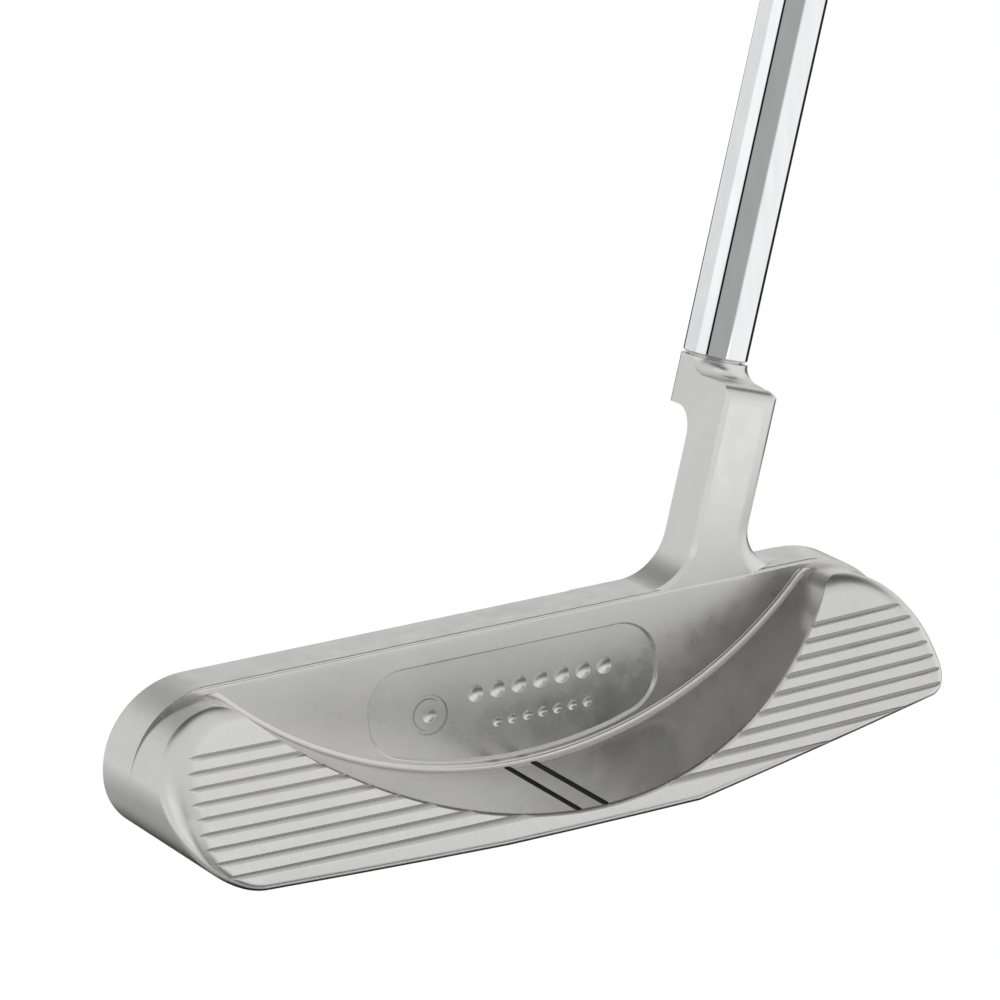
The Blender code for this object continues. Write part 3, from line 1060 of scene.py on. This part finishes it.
    def scoop(self) -> bpy.types.Object:
        """Makes the cutter for everything above the scoop's arc, with a filleted front edge.

        Returns:
            The cutter.
        """
        bumper_top = self.height - self.step
        centre = self.scoop_floor + self.scoop_radius
        reach = self.scoop_radius + self.scoop_shoulder
        drop = centre - bumper_top + self.scoop_shoulder
        across = math.sqrt(reach**2 - drop**2)
        touch = math.degrees(math.atan2(across, drop))
        shoulder_z = bumper_top - self.scoop_shoulder + 0.02
        shoulder = arc(across, shoulder_z, self.scoop_shoulder, 90 + touch, 90, 16)
        floor = arc(0.0, centre, self.scoop_radius, -90 - touch, -90 + touch, 150)
        top = self.height + 3.0
        outline = [(-across - 0.02, top)]
        outline += [(-x, z) for x, z in reversed(shoulder)] + floor[1:-1] + shoulder
        outline += [(across + 0.02, top)]
        outline = [(x + self.scoop_x, z) for x, z in outline]
        amounts = [0.0] + [1.0] * (len(outline) - 2) + [0.0]
        loops = []
        for k in range(11):
            turn = math.pi / 2 * k / 10
            points = inset(outline, [a * self.scoop_fillet * (1 - math.sin(turn)) for a in amounts])
            y = self.back + self.scoop_fillet * (1 - math.cos(turn))
            loops.append([Vector((x, y, z)) for x, z in points])
        fade_start, fade_length, ahead = 2, 6, 0.75  # the lip fades toward the shoulders
        fades = []
        for a, (_, z) in zip(amounts, outline):
            fades.append(a * min(1.0, max(0.0, (bumper_top - fade_start - z) / fade_length)))
        for k in range(7):
            turn = math.pi / 2 * k / 6
            spread, back = self.scoop_lip * (1 - math.cos(turn)), self.scoop_lip * (math.sin(turn) - ahead)
            points = inset(outline, [-f * spread for f in fades])
            loops.append([Vector((x, self.rear_y(x, z) + back, z)) for x, z in points])
        loops.append([Vector((x, self.depth, z)) for x, z in points])
        cutter = wear(rings("scoop", loops), self.brushed, self.satin)
        cutter.data.polygons[-2].material_index = 1
        return cutter

    def badge(self) -> bpy.types.Object:
        """Makes the cutter for the shallow recess in the plate, with drafted walls.

        Returns:
            The cutter.
        """
        radius = self.scoop_radius - self.badge_margin
        centre = self.scoop_floor + self.scoop_radius
        low, high = self.badge_offset - self.badge_width / 2, self.badge_offset + self.badge_width / 2
        margin, steps = 7, 40

        def floor(x: float) -> Pair:
            """Gives the recess's lower edge at x."""
            return (x, centre - math.sqrt(radius**2 - (x - self.scoop_x) ** 2))

        span = self.badge_width - 2 * margin
        middle = [floor(low + margin + span * k / steps) for k in range(steps + 1)]
        corners = [floor(low), *middle, floor(high), (high, self.height - self.badge_top)]
        corners.append((low, self.height - self.badge_top))
        radii = [self.badge_corner] + [0.0] * (steps + 1) + [self.badge_corner] * 3
        outline = rounded(corners, radii, steps=24)
        narrow = inset(outline, [self.badge_draft] * len(outline))
        deep = self.back - self.badge_depth
        loops = [[Vector((x, deep, z)) for x, z in narrow]]
        for wide, y in self.badge_lip:
            loops.append([Vector((x, self.back + y, z)) for x, z in inset(outline, [-wide] * len(outline))])
        return wear(rings("badge", loops), self.recess)

    def groove(self) -> bpy.types.Object:
        """Makes the cutter for the top groove, which follows the bowed rear face.

        Returns:
            The cutter.
        """
        z = self.height - self.groove_first
        lean = math.radians(self.rear_lean)
        down = Vector((math.sin(lean), -math.cos(lean)))
        out = Vector((math.cos(lean), math.sin(lean)))
        half = self.groove_width / 2
        steps, curl = 8, 1.4
        bowl = [(-half, 0.0)]
        for k in range(steps + 1):
            share = k / steps
            across = self.groove_wall - half + (2 * half - self.groove_wall) * share
            bowl.append((across, -self.groove_depth * (1 - share) ** curl))
        height, flank = 1.2, half + 0.1
        section = [out * height - down * flank]
        section += [down * a + out * b for a, b in bowl]
        section.append(out * height + down * flank)
        loops = []
        stations, to_the_end = 28, 25  # the cutter runs out past both ends of the head
        for k in range(-stations, stations + 1):
            x = self.half * k / to_the_end
            y = self.rear_y(x, z)
            loops.append([Vector((x, y + p.x, z + p.y)) for p in section])
        return rings("groove", loops)

    def groove_comb(self, row: Repeater) -> bpy.types.Object:
        """Repeats the groove cutter down the rear face.

        Args:
            row: The tree that repeats it.

        Returns:
            All the cutters as one object.
        """
        one = self.groove()
        host = make_object("groove_comb", bpy.data.meshes.new("groove_comb"))
        step = (0.0, math.tan(math.radians(self.rear_lean)) * self.groove_pitch, -self.groove_pitch)
        row.run(host, Count=self.grooves, Start=(0.0, 0.0, 0.0), Step=step, Shape=one, Finish=self.shaded_furrow)
        bpy.data.objects.remove(one, do_unlink=True)
        return host

    def ornament(self, row: Repeater) -> list[bpy.types.Object]:
        """Makes the cutters of the plain dimple ornament in the recess: a ring and two rows.

        Args:
            row: The tree that repeats a dimple.

        Returns:
            The cutters.
        """
        floor = self.back - self.badge_depth

        def dish(radius: float, x: float, z: float) -> bpy.types.Object:
            """Makes one shallow bowl-shaped cutter."""
            loops = []
            for share in (0.12, 0.4, 0.62, 0.8, 0.92, 1.0, 1.06):
                y = floor - self.dimple_depth * (1 - share**2)
                loops.append([Vector((a, y, b)) for a, b in arc(x, z, radius * share, 0, 348, 29)])
            return rings("dish", loops)

        cutters = []
        for count, radius, pitch, z in self.dimple_rows:
            one = dish(radius, 0.0, z)
            host = make_object("dimples", bpy.data.meshes.new("dimples"))
            start = (self.dimple_middle + pitch * (count - 1) / 2, 0.0, 0.0)
            row.run(host, Count=count, Start=start, Step=(-pitch, 0.0, 0.0), Shape=one, Finish=self.recess)
            bpy.data.objects.remove(one, do_unlink=True)
            cutters.append(host)
        x, z = self.ring_place
        axes = Matrix.Translation((x, floor, z)) @ Matrix.Rotation(-math.pi / 2, 4, "X")
        cutters.append(wear(turned("ring", self.ring_section, axes, sides=64), self.recess))
        cutters.append(wear(dish(self.ring_dot, x, z), self.recess))
        return cutters

    def sight_outline(self, x: float, shrink: float) -> list[Pair]:
        """Gives a sight line's round-ended outline in plan.

        Args:
            x: Its place along the head.
            shrink: How much narrower it is all round.

        Returns:
            (x, y) pairs.
        """
        half = self.sight_width / 2 - shrink
        start = self.back + self.scoop_fillet + 0.4
        end = self.rear_y(x, self.scoop_floor) - 1.0
        return arc(x, end, half, 0, 180, 20) + arc(x, start, half, 180, 360, 20)

    def neck(self) -> bpy.types.Object:
        """Makes the neck: flat-sided column, round-fronted boss, flared shoulder and the shaft's post.

        Returns:
            The neck, sunk into the topline.
        """
        line = self.line
        half, bury = self.neck_width / 2, self.height - 0.05
        rim, boss = line.rim, line.tip / 2 + self.rim_ledge

        def at(v: float, t: float) -> Pair:
            """Gives (x, z) of a point beside the axis."""
            point = line.at(v, 0.0, t)
            return (point.x, point.z)

        toward, up = line.axes.col[0], line.axes.col[2]
        toe, heel = (at(v, (bury - self.height - v * toward.z) / up.z) for v in (half, -half))
        corners = [
            (toe[0] + 14, self.height - 4), (toe[0] + 14, bury), toe, at(half, rim + 2),
            at(-half, rim + 2), heel, (heel[0] - 10, bury), (heel[0] - 10, self.height - 4),
        ]
        fillets = [0, 0, self.neck_toe_fillet, 0, 0, self.neck_heel_fillet, 0, 0]
        profile = rounded(corners, fillets, steps=26)
        slope = math.tan(math.radians(line.lie))
        toe_sides = [x > line.x - (z - self.height) / slope for x, z in profile]
        loops = [[Vector((x, line.y - boss - 1, z)) for x, z in profile]]
        back, steps = self.back - self.neck_sink, 16
        for k in range(steps + 1):
            share, turn = k / steps, math.pi / 2 * k / steps
            bevel = (self.neck_toe_bevel * self.neck_toe_round * share, self.neck_toe_round * (1 - share))
            bend = (self.neck_back_round * (1 - math.cos(turn)), self.neck_back_round * (1 - math.sin(turn)))
            moves = [bevel if toe_side else bend for toe_side in toe_sides]
            points = inset(profile, [across for across, _ in moves])
            loops.append([Vector((x, back - ahead, z)) for (x, z), (_, ahead) in zip(points, moves)])
        column = wear(rings("neck", loops), self.satin)

        front, ahead, behind, below, wide = self.face - line.y, -9.0, 30.0, -12.0, 40.0
        side = [
            (ahead, self.boss_bottom), (front, self.boss_bottom), (front, below),
            (behind, below), (behind, rim), (ahead, rim),
        ]
        notch = rounded(side, [0, self.boss_notch, 0, 0, 0, 0], steps=24)
        combine(column, self.across("side", notch), Join.KEEP)
        plan = [(wide, 0.0), (wide, behind), (-wide, behind), (-wide, 0.0)] + arc(0, 0, boss, 180, 360, 96)
        combine(column, wear(slab("plan", plan, below - 2, rim + 3, line.at), self.satin), Join.KEEP)
        shoulder = rim - self.flare
        curve = arc(boss + self.flare, rim, self.flare, 180, 270, 20)
        collar = curve + [(behind, shoulder), (behind, rim + 3), (boss, rim + 3)]
        combine(column, wear(turned("flare", collar, line.axes), self.satin), Join.CUT)
        reach = back - line.y
        low = shoulder - self.shoulder_round - self.neck_sink
        edge = arc(reach - self.shoulder_round, low, self.shoulder_round, 90, 4, 18)
        edge += [(reach + 2, low), (reach + 2, rim + 3), (reach - self.shoulder_round, rim + 3)]
        combine(column, self.across("edge", edge), Join.CUT)
        combine(column, self.corner(reach, low), Join.CUT)

        radius = line.tip / 2 - line.wall - 2 * line.fit - self.bond
        top, root, chamfer = rim + self.post, rim - 5, 0.6
        post = [(0.0, root), (radius, root), (radius, top - chamfer), (radius - chamfer, top), (0.0, top)]
        combine(column, wear(turned("post", post, line.axes, sides=64), self.satin), Join.ADD)
        return column

    def corner(self, reach: float, low: float) -> bpy.types.Object:
        """Makes the cutter that rounds the neck's upper heel corner and follows the shoulder's round.

        Args:
            reach: The neck's rear face, from the axis.
            low: Centre of the shoulder's round along the axis.

        Returns:
            The cutter.
        """
        half, flat, loops = self.neck_width / 2, reach - self.shoulder_round, []
        start, growing, last = 4.6, 12, 23
        angle_step, angle_end = 9.0, 86.0
        for k in range(last + 1):
            share = min(1.0, k / growing)
            turn = math.radians(min(angle_end, max(0.0, angle_step * (k - growing))))
            bend = 0.02 + self.neck_corner * share * share * (3 - 2 * share)
            y = start + (flat - start) * share + self.shoulder_round * math.sin(turn)
            if k == last:
                y = reach + 2
            top = low + self.shoulder_round * math.cos(turn)
            section = arc(bend - half, top - bend, bend, 90, 180, 12)
            section += [(-half - 1, top - bend), (-half - 1, top + 1), (bend - half, top + 1)]
            loops.append([self.line.at(v, y, t) for v, t in section])
        return wear(rings("corner", loops), self.satin)

    def across(self, name: str, outline: Sequence[Pair]) -> bpy.types.Object:
        """Extrudes a side view of the neck across its width.

        Args:
            name: The object's name.
            outline: (y, t) pairs.

        Returns:
            The object, in satin steel.
        """
        return wear(slab(name, outline, -40.0, 40.0, lambda y, t, v: self.line.at(v, y, t)), self.satin)

    def build(self, row: Repeater) -> bpy.types.Object:
        """Makes the whole head.

        Args:
            row: The tree that repeats grooves and dimples.

        Returns:
            The head.
        """
        head = self.blank()
        combine(head, self.neck(), Join.ADD)
        combine(head, self.scoop(), Join.CUT)
        combine(head, self.badge(), Join.CUT)
        for cutter in self.ornament(row):
            combine(head, cutter, Join.CUT)
        combine(head, self.groove_comb(row), Join.CUT)
        for x in self.sights:
            outline = self.sight_outline(x, 0.0)
            slot = slab("slot", outline, self.scoop_floor - self.sight_depth, self.scoop_floor + 3, upright)
            combine(head, wear(slot, self.brushed), Join.CUT)
        return polish(head, "putter_head")

    def sight_paint(self, name: str, x: float) -> bpy.types.Object:
        """Makes the paint in one sight line, slightly hollow on top as it dries.

        Args:
            name: The object's name.
            x: Place along the head.

        Returns:
            The paint.
        """
        low = self.scoop_floor - self.sight_depth + self.paint_gap
        high = self.scoop_floor - self.paint_sink
        shrinks = ((self.paint_gap, low), (self.paint_gap, high), (0.12, high - 0.03), (0.22, high - 0.045))
        loops = [[Vector((a, b, z)) for a, b in self.sight_outline(x, s)] for s, z in shrinks]
        return polish(wear(rings(name, loops), self.paint), name, sharp=50.0)


def upright(a: float, b: float, c: float) -> Vector:
    """Places (a, b, c) as x, y and z."""
    return Vector((a, b, c))


# --------------------------------------------------------------------------------------------------
# Shaft and grip
# --------------------------------------------------------------------------------------------------


@dataclass
class Shaft:
    """The chromed steel tube."""

    line: ShaftLine
    edge: float = 0.3

    def build(self) -> bpy.types.Object:
        """Makes the tube.

        Returns:
            The shaft.
        """
        line = self.line
        taper_start = line.low + line.parallel
        heights = [line.low + self.edge, taper_start, taper_start + line.taper, line.high - self.edge]
        outer = [(line.radius(line.low) - self.edge, line.low)]
        outer += [(line.radius(t), t) for t in heights]
        outer += [(line.radius(line.high) - self.edge, line.high)]
        inner = [(line.radius(t) - line.wall, t) for t in (line.high, *reversed(heights[1:3]), line.low)]
        tube = wear(turned("shaft_tube", outer + inner, line.axes), ChromePlate().build())
        return polish(tube, "shaft_tube")


@dataclass
class Grip:
    """The pistol grip: D-shaped rubber sleeve with rows of studs on its flat, and its vented cap."""

    line: ShaftLine
    tape: float = 0.25
    flat: float = 0.42
    vent: float = 1.2
    plug: float = 5.0
    cap_round: Pair = (3.0, 1.6)
    stud: float = 0.9
    stud_rows: int = 52
    stud_columns: int = 5
    stud_pitch: float = 3.168
    stud_stagger: float = 0.25
    stud_sink: float = 0.12
    stud_run: Pair = (0.10, 0.80)
    stud_shape: tuple[Pair, ...] = ((1.0, 0.0), (0.92, 0.32), (0.6, 0.45))
    sides: int = 128
    stops: tuple[tuple[float, float, float, float], ...] = (
        (0.0, 20.4, 20.4, 2.0), (0.06, 21.6, 21.4, 2.6), (0.30, 22.8, 22.6, 3.6), (0.55, 23.6, 23.4, 4.4),
        (0.68, 24.6, 26.4, 4.6), (0.82, 26.2, 31.6, 4.6), (0.92, 27.0, 33.0, 4.4), (1.0, 27.0, 31.8, 4.2),
    )

    def __post_init__(self) -> None:
        """Makes the finishes."""
        self.rubber = Moulding(
            "grip_rubber", (0.016, 0.016, 0.017), (0.026, 0.026, 0.027), 0.72, 3200.0, 2.5e-5
        ).build()
        self.hard_rubber = Moulding(
            "cap_rubber", (0.022, 0.022, 0.023), (0.03, 0.03, 0.031), 0.52, 1800.0, 8e-6
        ).build()

    @property
    def top(self) -> float:
        """Where the sleeve ends under the cap."""
        return self.line.grip_end - self.line.cap

    def shape(self, share: float) -> tuple[float, float, float]:
        """Gives the sleeve's section, eased between its stops.

        Args:
            share: Share of its length from the mouth.

        Returns:
            Width, depth and squareness.
        """
        for low, high in zip(self.stops, self.stops[1:]):
            if share <= high[0]:
                part = (share - low[0]) / (high[0] - low[0])
                return tuple(a + (b - a) * part for a, b in zip(low[1:], high[1:]))
        return self.stops[-1][1:]

    def flat_share(self, power: float) -> float:
        """Gives the share of the depth that lies on the flat side.

        Args:
            power: Squareness of the flat side.

        Returns:
            The share, a half where the section is round.
        """
        return 0.5 + (self.flat - 0.5) * min(1.0, (power - 2.0) / 2)

    def section(self, width: float, depth: float, power: float, t: float) -> Loop:
        """Gives one D-shaped loop whose flat faces the toe.

        Args:
            width: Across the flat.
            depth: From flat to back.
            power: Squareness of the flat side.
            t: Place along the shaft.

        Returns:
            The loop.
        """
        flat = self.flat_share(power)
        loop = []
        for k in range(self.sides):
            angle = 2 * math.pi * k / self.sides
            c, s = math.cos(angle), math.sin(angle)
            n = power if c > 0 else 2.0
            reach = depth * (flat if c > 0 else 1 - flat)
            v = reach * math.copysign(abs(c) ** (2 / n), c)
            y = width / 2 * math.copysign(abs(s) ** (2 / n), s)
            loop.append(self.line.at(v, y, t))
        return loop

    def circle(self, radius: float, t: float) -> Loop:
        """Gives a round loop.

        Args:
            radius: Its radius.
            t: Place along the shaft.

        Returns:
            The loop.
        """
        turns = [2 * math.pi * k / self.sides for k in range(self.sides)]
        return [self.line.at(radius * math.cos(a), radius * math.sin(a), t) for a in turns]

    def sleeve(self) -> bpy.types.Object:
        """Makes the rubber sleeve.

        Returns:
            The sleeve.
        """
        bore = self.line.butt / 2 + self.tape + 2 * self.line.fit
        start = self.line.grip_start
        width, depth, power = self.shape(0.0)
        trim, steps = 1.2, 60
        loops = [self.circle(bore, start), self.section(width - trim, depth - trim, power, start)]
        for share in (0.001, 0.002, 0.003, *(k / steps for k in range(1, steps + 1))):
            loops.append(self.section(*self.shape(share), start + (self.top - start) * share))
        loops.append(self.circle(bore, self.top))
        return polish(wear(rings("grip_sleeve", loops, closed=True), self.rubber), "grip_sleeve", sharp=40.0)

    def studs(self, stand: Repeater) -> bpy.types.Object:
        """Makes the rows of low studs on the flat side.

        Args:
            stand: The tree that stands a stud on each point of a sheet.

        Returns:
            The studs as one object.
        """
        start, length = self.line.grip_start, self.top - self.line.grip_start
        first, run = self.stud_run
        points, faces, across = [], [], self.stud_columns
        for row in range(self.stud_rows):
            share = first + run * row / (self.stud_rows - 1)
            width, depth, power = self.shape(share)
            stagger = self.stud_stagger if row % 2 else -self.stud_stagger
            for k in range(across):
                y = (k - (across - 1) / 2 + stagger) * self.stud_pitch
                v = depth * self.flat_share(power) * (1 - (abs(y) / (width / 2)) ** power) ** (1 / power)
                points.append(self.line.at(v - self.stud_sink, y, start + length * share))
                if row and k:
                    n = len(points) - 1
                    faces.append((n, n - across, n - across - 1, n - 1))
        mesh = bpy.data.meshes.new("grip_studs")
        mesh.from_pydata([tuple(p) for p in points], [], faces)
        sheet = make_object("grip_studs", mesh)
        toward = self.line.axes.col[0].to_3d()
        if mesh.polygons[0].normal.dot(toward) < 0:
            mesh.flip_normals()
        turns = [k * math.pi / 5 for k in range(10)]
        loops = []
        for r, z in self.stud_shape:
            loops.append([Vector((r * math.cos(a), r * math.sin(a), z)) for a in turns])
        stud = rings("stud", loops)
        stand.run(sheet, Shape=stud, Size=self.stud, Spread=0.08, Seed=7, Finish=self.rubber)
        bpy.data.objects.remove(stud, do_unlink=True)
        return polish(sheet, "grip_studs", sharp=60.0)

    def cap(self) -> bpy.types.Object:
        """Makes the vented cap with its plug.

        Returns:
            The cap.
        """
        line = self.line
        width, depth, power = self.shape(1.0)
        low, end = line.grip_end - line.cap + line.seat_gap, line.grip_end
        stem = line.butt / 2 - line.wall - line.fit
        foot, chamfer, dish = low - self.plug, 0.5, end - 0.4
        loops = [
            self.circle(self.vent, foot), self.circle(stem - chamfer, foot),
            self.circle(stem, foot + chamfer), self.circle(stem, low), self.section(width, depth, power, low),
        ]
        across, along = self.cap_round
        for k in range(9):
            turn = math.pi / 2 * k / 8
            cut = across * (1 - math.cos(turn))
            loops.append(self.section(width - cut, depth - cut, power, end - along * (1 - math.sin(turn))))
        loops += [self.circle(4.4, end), self.circle(4.0, dish), self.circle(self.vent, dish)]
        cap = wear(rings("grip_end_cap", loops, closed=True), self.hard_rubber)
        return polish(cap, "grip_end_cap", sharp=40.0)


# --------------------------------------------------------------------------------------------------
# Studio
# --------------------------------------------------------------------------------------------------


@dataclass(frozen=True)
class Panel:
    """A patch of the studio's walls and ceiling, by direction."""

    azimuth: float
    half_width: float
    low: float
    high: float
    light: float
    blur: float = 5.0


@dataclass
class Studio:
    """Floor, walls, lamp and camera."""

    floor_size: float = 6.0
    floor_light: float = 1.02
    floor_z: float = -0.0002
    table_z: float = -0.0003
    table: tuple[float, float, float, float] = (-0.12, 0.26, -0.10, 0.42)
    # Painted shadow: the table top's glow is dimmest over this box round the head and rises with distance, so
    # the metal mirrors a contact shadow.
    painted_shadow_footprint: tuple[float, float, float, float] = (0.0, -0.005, 0.055, 0.021)
    painted_contact_shadow_glow: float = 0.02
    painted_shadow_fade: tuple[tuple[float, float, float], ...] = (
        (0.0, 0.008, 0.4), (0.008, 0.05, 0.30), (0.055, 0.12, 0.70),
    )
    walls: float = 0.84
    panels: tuple[Panel, ...] = (
        Panel(azimuth=0.0, half_width=180.0, low=66.0, high=90.0, light=1.3, blur=6.0),
        Panel(azimuth=112.0, half_width=22.0, low=30.0, high=66.0, light=1.12, blur=12.0),
        Panel(azimuth=245.0, half_width=62.0, low=30.0, high=64.0, light=0.06, blur=6.0),
        Panel(azimuth=150.0, half_width=50.0, low=-90.0, high=30.0, light=1.03),
        Panel(azimuth=240.0, half_width=45.0, low=-90.0, high=-4.0, light=0.02, blur=2.0),
        Panel(azimuth=64.0, half_width=34.0, low=-90.0, high=40.0, light=0.42, blur=4.0),
        Panel(azimuth=92.0, half_width=34.0, low=19.0, high=42.0, light=0.12, blur=4.0),
        Panel(azimuth=5.0, half_width=20.0, low=12.0, high=32.0, light=1.1, blur=4.0),
        Panel(azimuth=30.0, half_width=3.5, low=-90.0, high=45.0, light=0.0, blur=1.5),
    )
    lamp_place: tuple[float, float, float] = (-0.3, 0.2, 1.6)
    lamp_size: float = 0.8
    lamp_power: float = 16.0
    camera_place: tuple[float, float, float] = (0.233394, 0.478499, 0.184858)
    camera_turn: tuple[float, float, float] = (74.92352, 3.97359, 153.46874)
    lens: float = 146.743

    def sheet(self, name: str, box: Sequence[float], z: float) -> bpy.types.Object:
        """Makes a flat staged sheet.

        Args:
            name: Its name.
            box: Lowest x, highest x, lowest y and highest y in metres.
            z: Its height in metres.

        Returns:
            The sheet.
        """
        x0, x1, y0, y1 = box
        mesh = bpy.data.meshes.new(name)
        mesh.from_pydata([(x0, y0, z), (x1, y0, z), (x1, y1, z), (x0, y1, z)], [], [(0, 1, 2, 3)])
        made = make_object(name, mesh)
        return made

    def floor(self) -> None:
        """Lays the pale floor, and the small glowing table top that the metal mirrors, with a painted shadow
        round the head.
        """
        size = self.floor_size
        floor = self.sheet("floor", (-size, size, -size, size), self.floor_z)
        pale = NodeSheet("pale_floor")
        pale.shade(Base_Color=BLACK, Roughness=0.9, Specular_IOR_Level=0.0)
        pale.shade(Emission_Color=WHITE, Emission_Strength=self.floor_light)
        wear(floor, pale.material)
        floor.visible_glossy = floor.visible_diffuse = floor.visible_shadow = False
        table = self.sheet("table_top", self.table, self.table_z)
        shadowed_table_glow = NodeSheet("table_glow_painted_shadow")
        where = shadowed_table_glow.add("ShaderNodeTexCoord").outputs["Object"]
        x, y, half_x, half_y = self.painted_shadow_footprint
        away = shadowed_table_glow.vector("SUBTRACT", where, (x, y, 0.0)).outputs["Vector"]
        away = shadowed_table_glow.vector("ABSOLUTE", away).outputs["Vector"]
        away = shadowed_table_glow.vector("SUBTRACT", away, (half_x, half_y, 1.0)).outputs["Vector"]
        away = shadowed_table_glow.vector("MAXIMUM", away, (0.0, 0.0, 0.0)).outputs["Vector"]
        distance = shadowed_table_glow.vector("LENGTH", away).outputs["Value"]
        # Painted shadow: the glow starts near black over the head's footprint and brightens in steps away
        # from it.
        total: bpy.types.NodeSocket | float = self.painted_contact_shadow_glow
        for near, far, gain in self.painted_shadow_fade:
            total = shadowed_table_glow.compute("ADD", total, shadowed_table_glow.ramp(distance, near, far, gain))
        shadowed_table_glow.shade(Base_Color=BLACK, Specular_IOR_Level=0.0, Emission_Color=WHITE, Emission_Strength=total)
        wear(table, shadowed_table_glow.material)
        table.visible_camera = False

    def walls_and_ceiling(self) -> None:
        """Lights the walls and ceiling as one soft surround with darker and lighter patches."""
        world = bpy.data.worlds.new("studio_walls")
        bpy.context.scene.world = world
        world.use_nodes = True
        sky = Nodes(world.node_tree)

        def edge(value: bpy.types.NodeSocket, limit: float, blur: float) -> bpy.types.NodeSocket:
            """Rises smoothly across a height, given as an angle; a negative blur makes it fall."""
            angles = (min(90.0, max(-90.0, limit + b)) for b in (-blur, blur))
            return sky.ramp(value, *(math.sin(math.radians(a)) for a in angles))

        way = sky.add("ShaderNodeTexCoord").outputs["Generated"]
        height = sky.add("ShaderNodeSeparateXYZ", {0: way}).outputs["Z"]
        flat = sky.vector("MULTIPLY", way, (1.0, 1.0, 0.0)).outputs["Vector"]
        level = sky.vector("NORMALIZE", flat).outputs["Vector"]
        light: bpy.types.NodeSocket | float = self.walls
        for panel in self.panels:
            angle, blur = math.radians(panel.azimuth), panel.blur
            toward = (math.cos(angle), math.sin(angle), 0.0)
            facing = sky.vector("DOT_PRODUCT", level, toward).outputs["Value"]
            wide = (math.cos(math.radians(max(0.0, panel.half_width + b))) for b in (blur, -blur))
            mask = sky.ramp(facing, *wide)
            if panel.low > -90.0:
                mask = sky.compute("MULTIPLY", mask, edge(height, panel.low, blur))
            if panel.high < 90.0:
                mask = sky.compute("MULTIPLY", mask, edge(height, panel.high, -blur))
            links = {"Value": mask, "To Min": light, "To Max": panel.light}
            light = sky.add("ShaderNodeMapRange", links).outputs[0]
        sky.feed(sky.tree.nodes["Background"].inputs["Color"], light)

    def lamp(self) -> None:
        """Hangs the large soft lamp that lights the club; the table top's brightness and shadow are painted
        in its own glow.
        """
        data = bpy.data.lights.new("soft_lamp", "AREA")
        data.shape, data.size, data.energy = "SQUARE", self.lamp_size, self.lamp_power
        lamp = bpy.data.objects.new("soft_lamp", data)
        lamp.location = self.lamp_place
        bpy.context.scene.collection.objects.link(lamp)
        lamp.visible_glossy = False

    def camera(self) -> None:
        """Sets the camera."""
        data = bpy.data.cameras.new("camera")
        data.lens, data.sensor_width = self.lens, 36.0
        data.clip_start, data.clip_end = 0.01, 50.0
        camera = bpy.data.objects.new("camera", data)
        camera.location = self.camera_place
        camera.rotation_euler = [math.radians(a) for a in self.camera_turn]
        bpy.context.scene.collection.objects.link(camera)
        bpy.context.scene.camera = camera

    def build(self) -> None:
        """Sets up the whole studio."""
        self.floor()
        self.walls_and_ceiling()
        self.lamp()
        self.camera()
        bpy.context.scene.view_settings.view_transform = "Standard"


def mount(item: bpy.types.Object, slot: str, *nodes: str) -> None:
    """Fixes a finished piece to the club and reports it.

    Args:
        item: The piece.
        slot: The record's material slot; not used.
        nodes: The solids that it stands for.
    """
    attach(item, BODY)
    if nodes:
        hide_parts(*nodes)
    log.info("%s: %d faces, stands for %s", item.name, len(item.data.polygons), ", ".join(nodes) or "nothing")


def main() -> None:
    """Builds the putter in its studio."""
    logging.basicConfig(level=logging.INFO, format="%(name)s %(message)s")
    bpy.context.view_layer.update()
    line = ShaftLine()
    row, stand = row_repeater(), stud_repeater()

    head = PutterHead(line)
    mount(head.build(row), "stainless_steel", "head_body")
    for side, x in zip(("toe", "heel"), head.sights):
        mount(head.sight_paint(f"sight_paint_{side}", x), "black_paint", f"alignment_line_{side}")
    mount(Shaft(line).build(), "chrome", "shaft")
    grip = Grip(line)
    mount(grip.sleeve(), "grip_rubber", "grip")
    mount(grip.studs(stand), "grip_rubber")
    mount(grip.cap(), "cap_rubber", "grip_cap")

    glue = Moulding("cured_epoxy", (0.50, 0.42, 0.26), (0.58, 0.50, 0.33), 0.4, 900.0, 1e-5, 0.4)
    paper = Moulding("paper_tape", (0.66, 0.62, 0.48), (0.74, 0.70, 0.56), 0.88, 1500.0, 2e-5)
    for node, finish in (("shaft_bond", glue), ("grip_tape", paper)):
        wear(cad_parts[node], finish.build())
        log.info("%s: kept, in %s", node, finish.name)

    Studio().build()


if __name__ == "__main__":
    main()
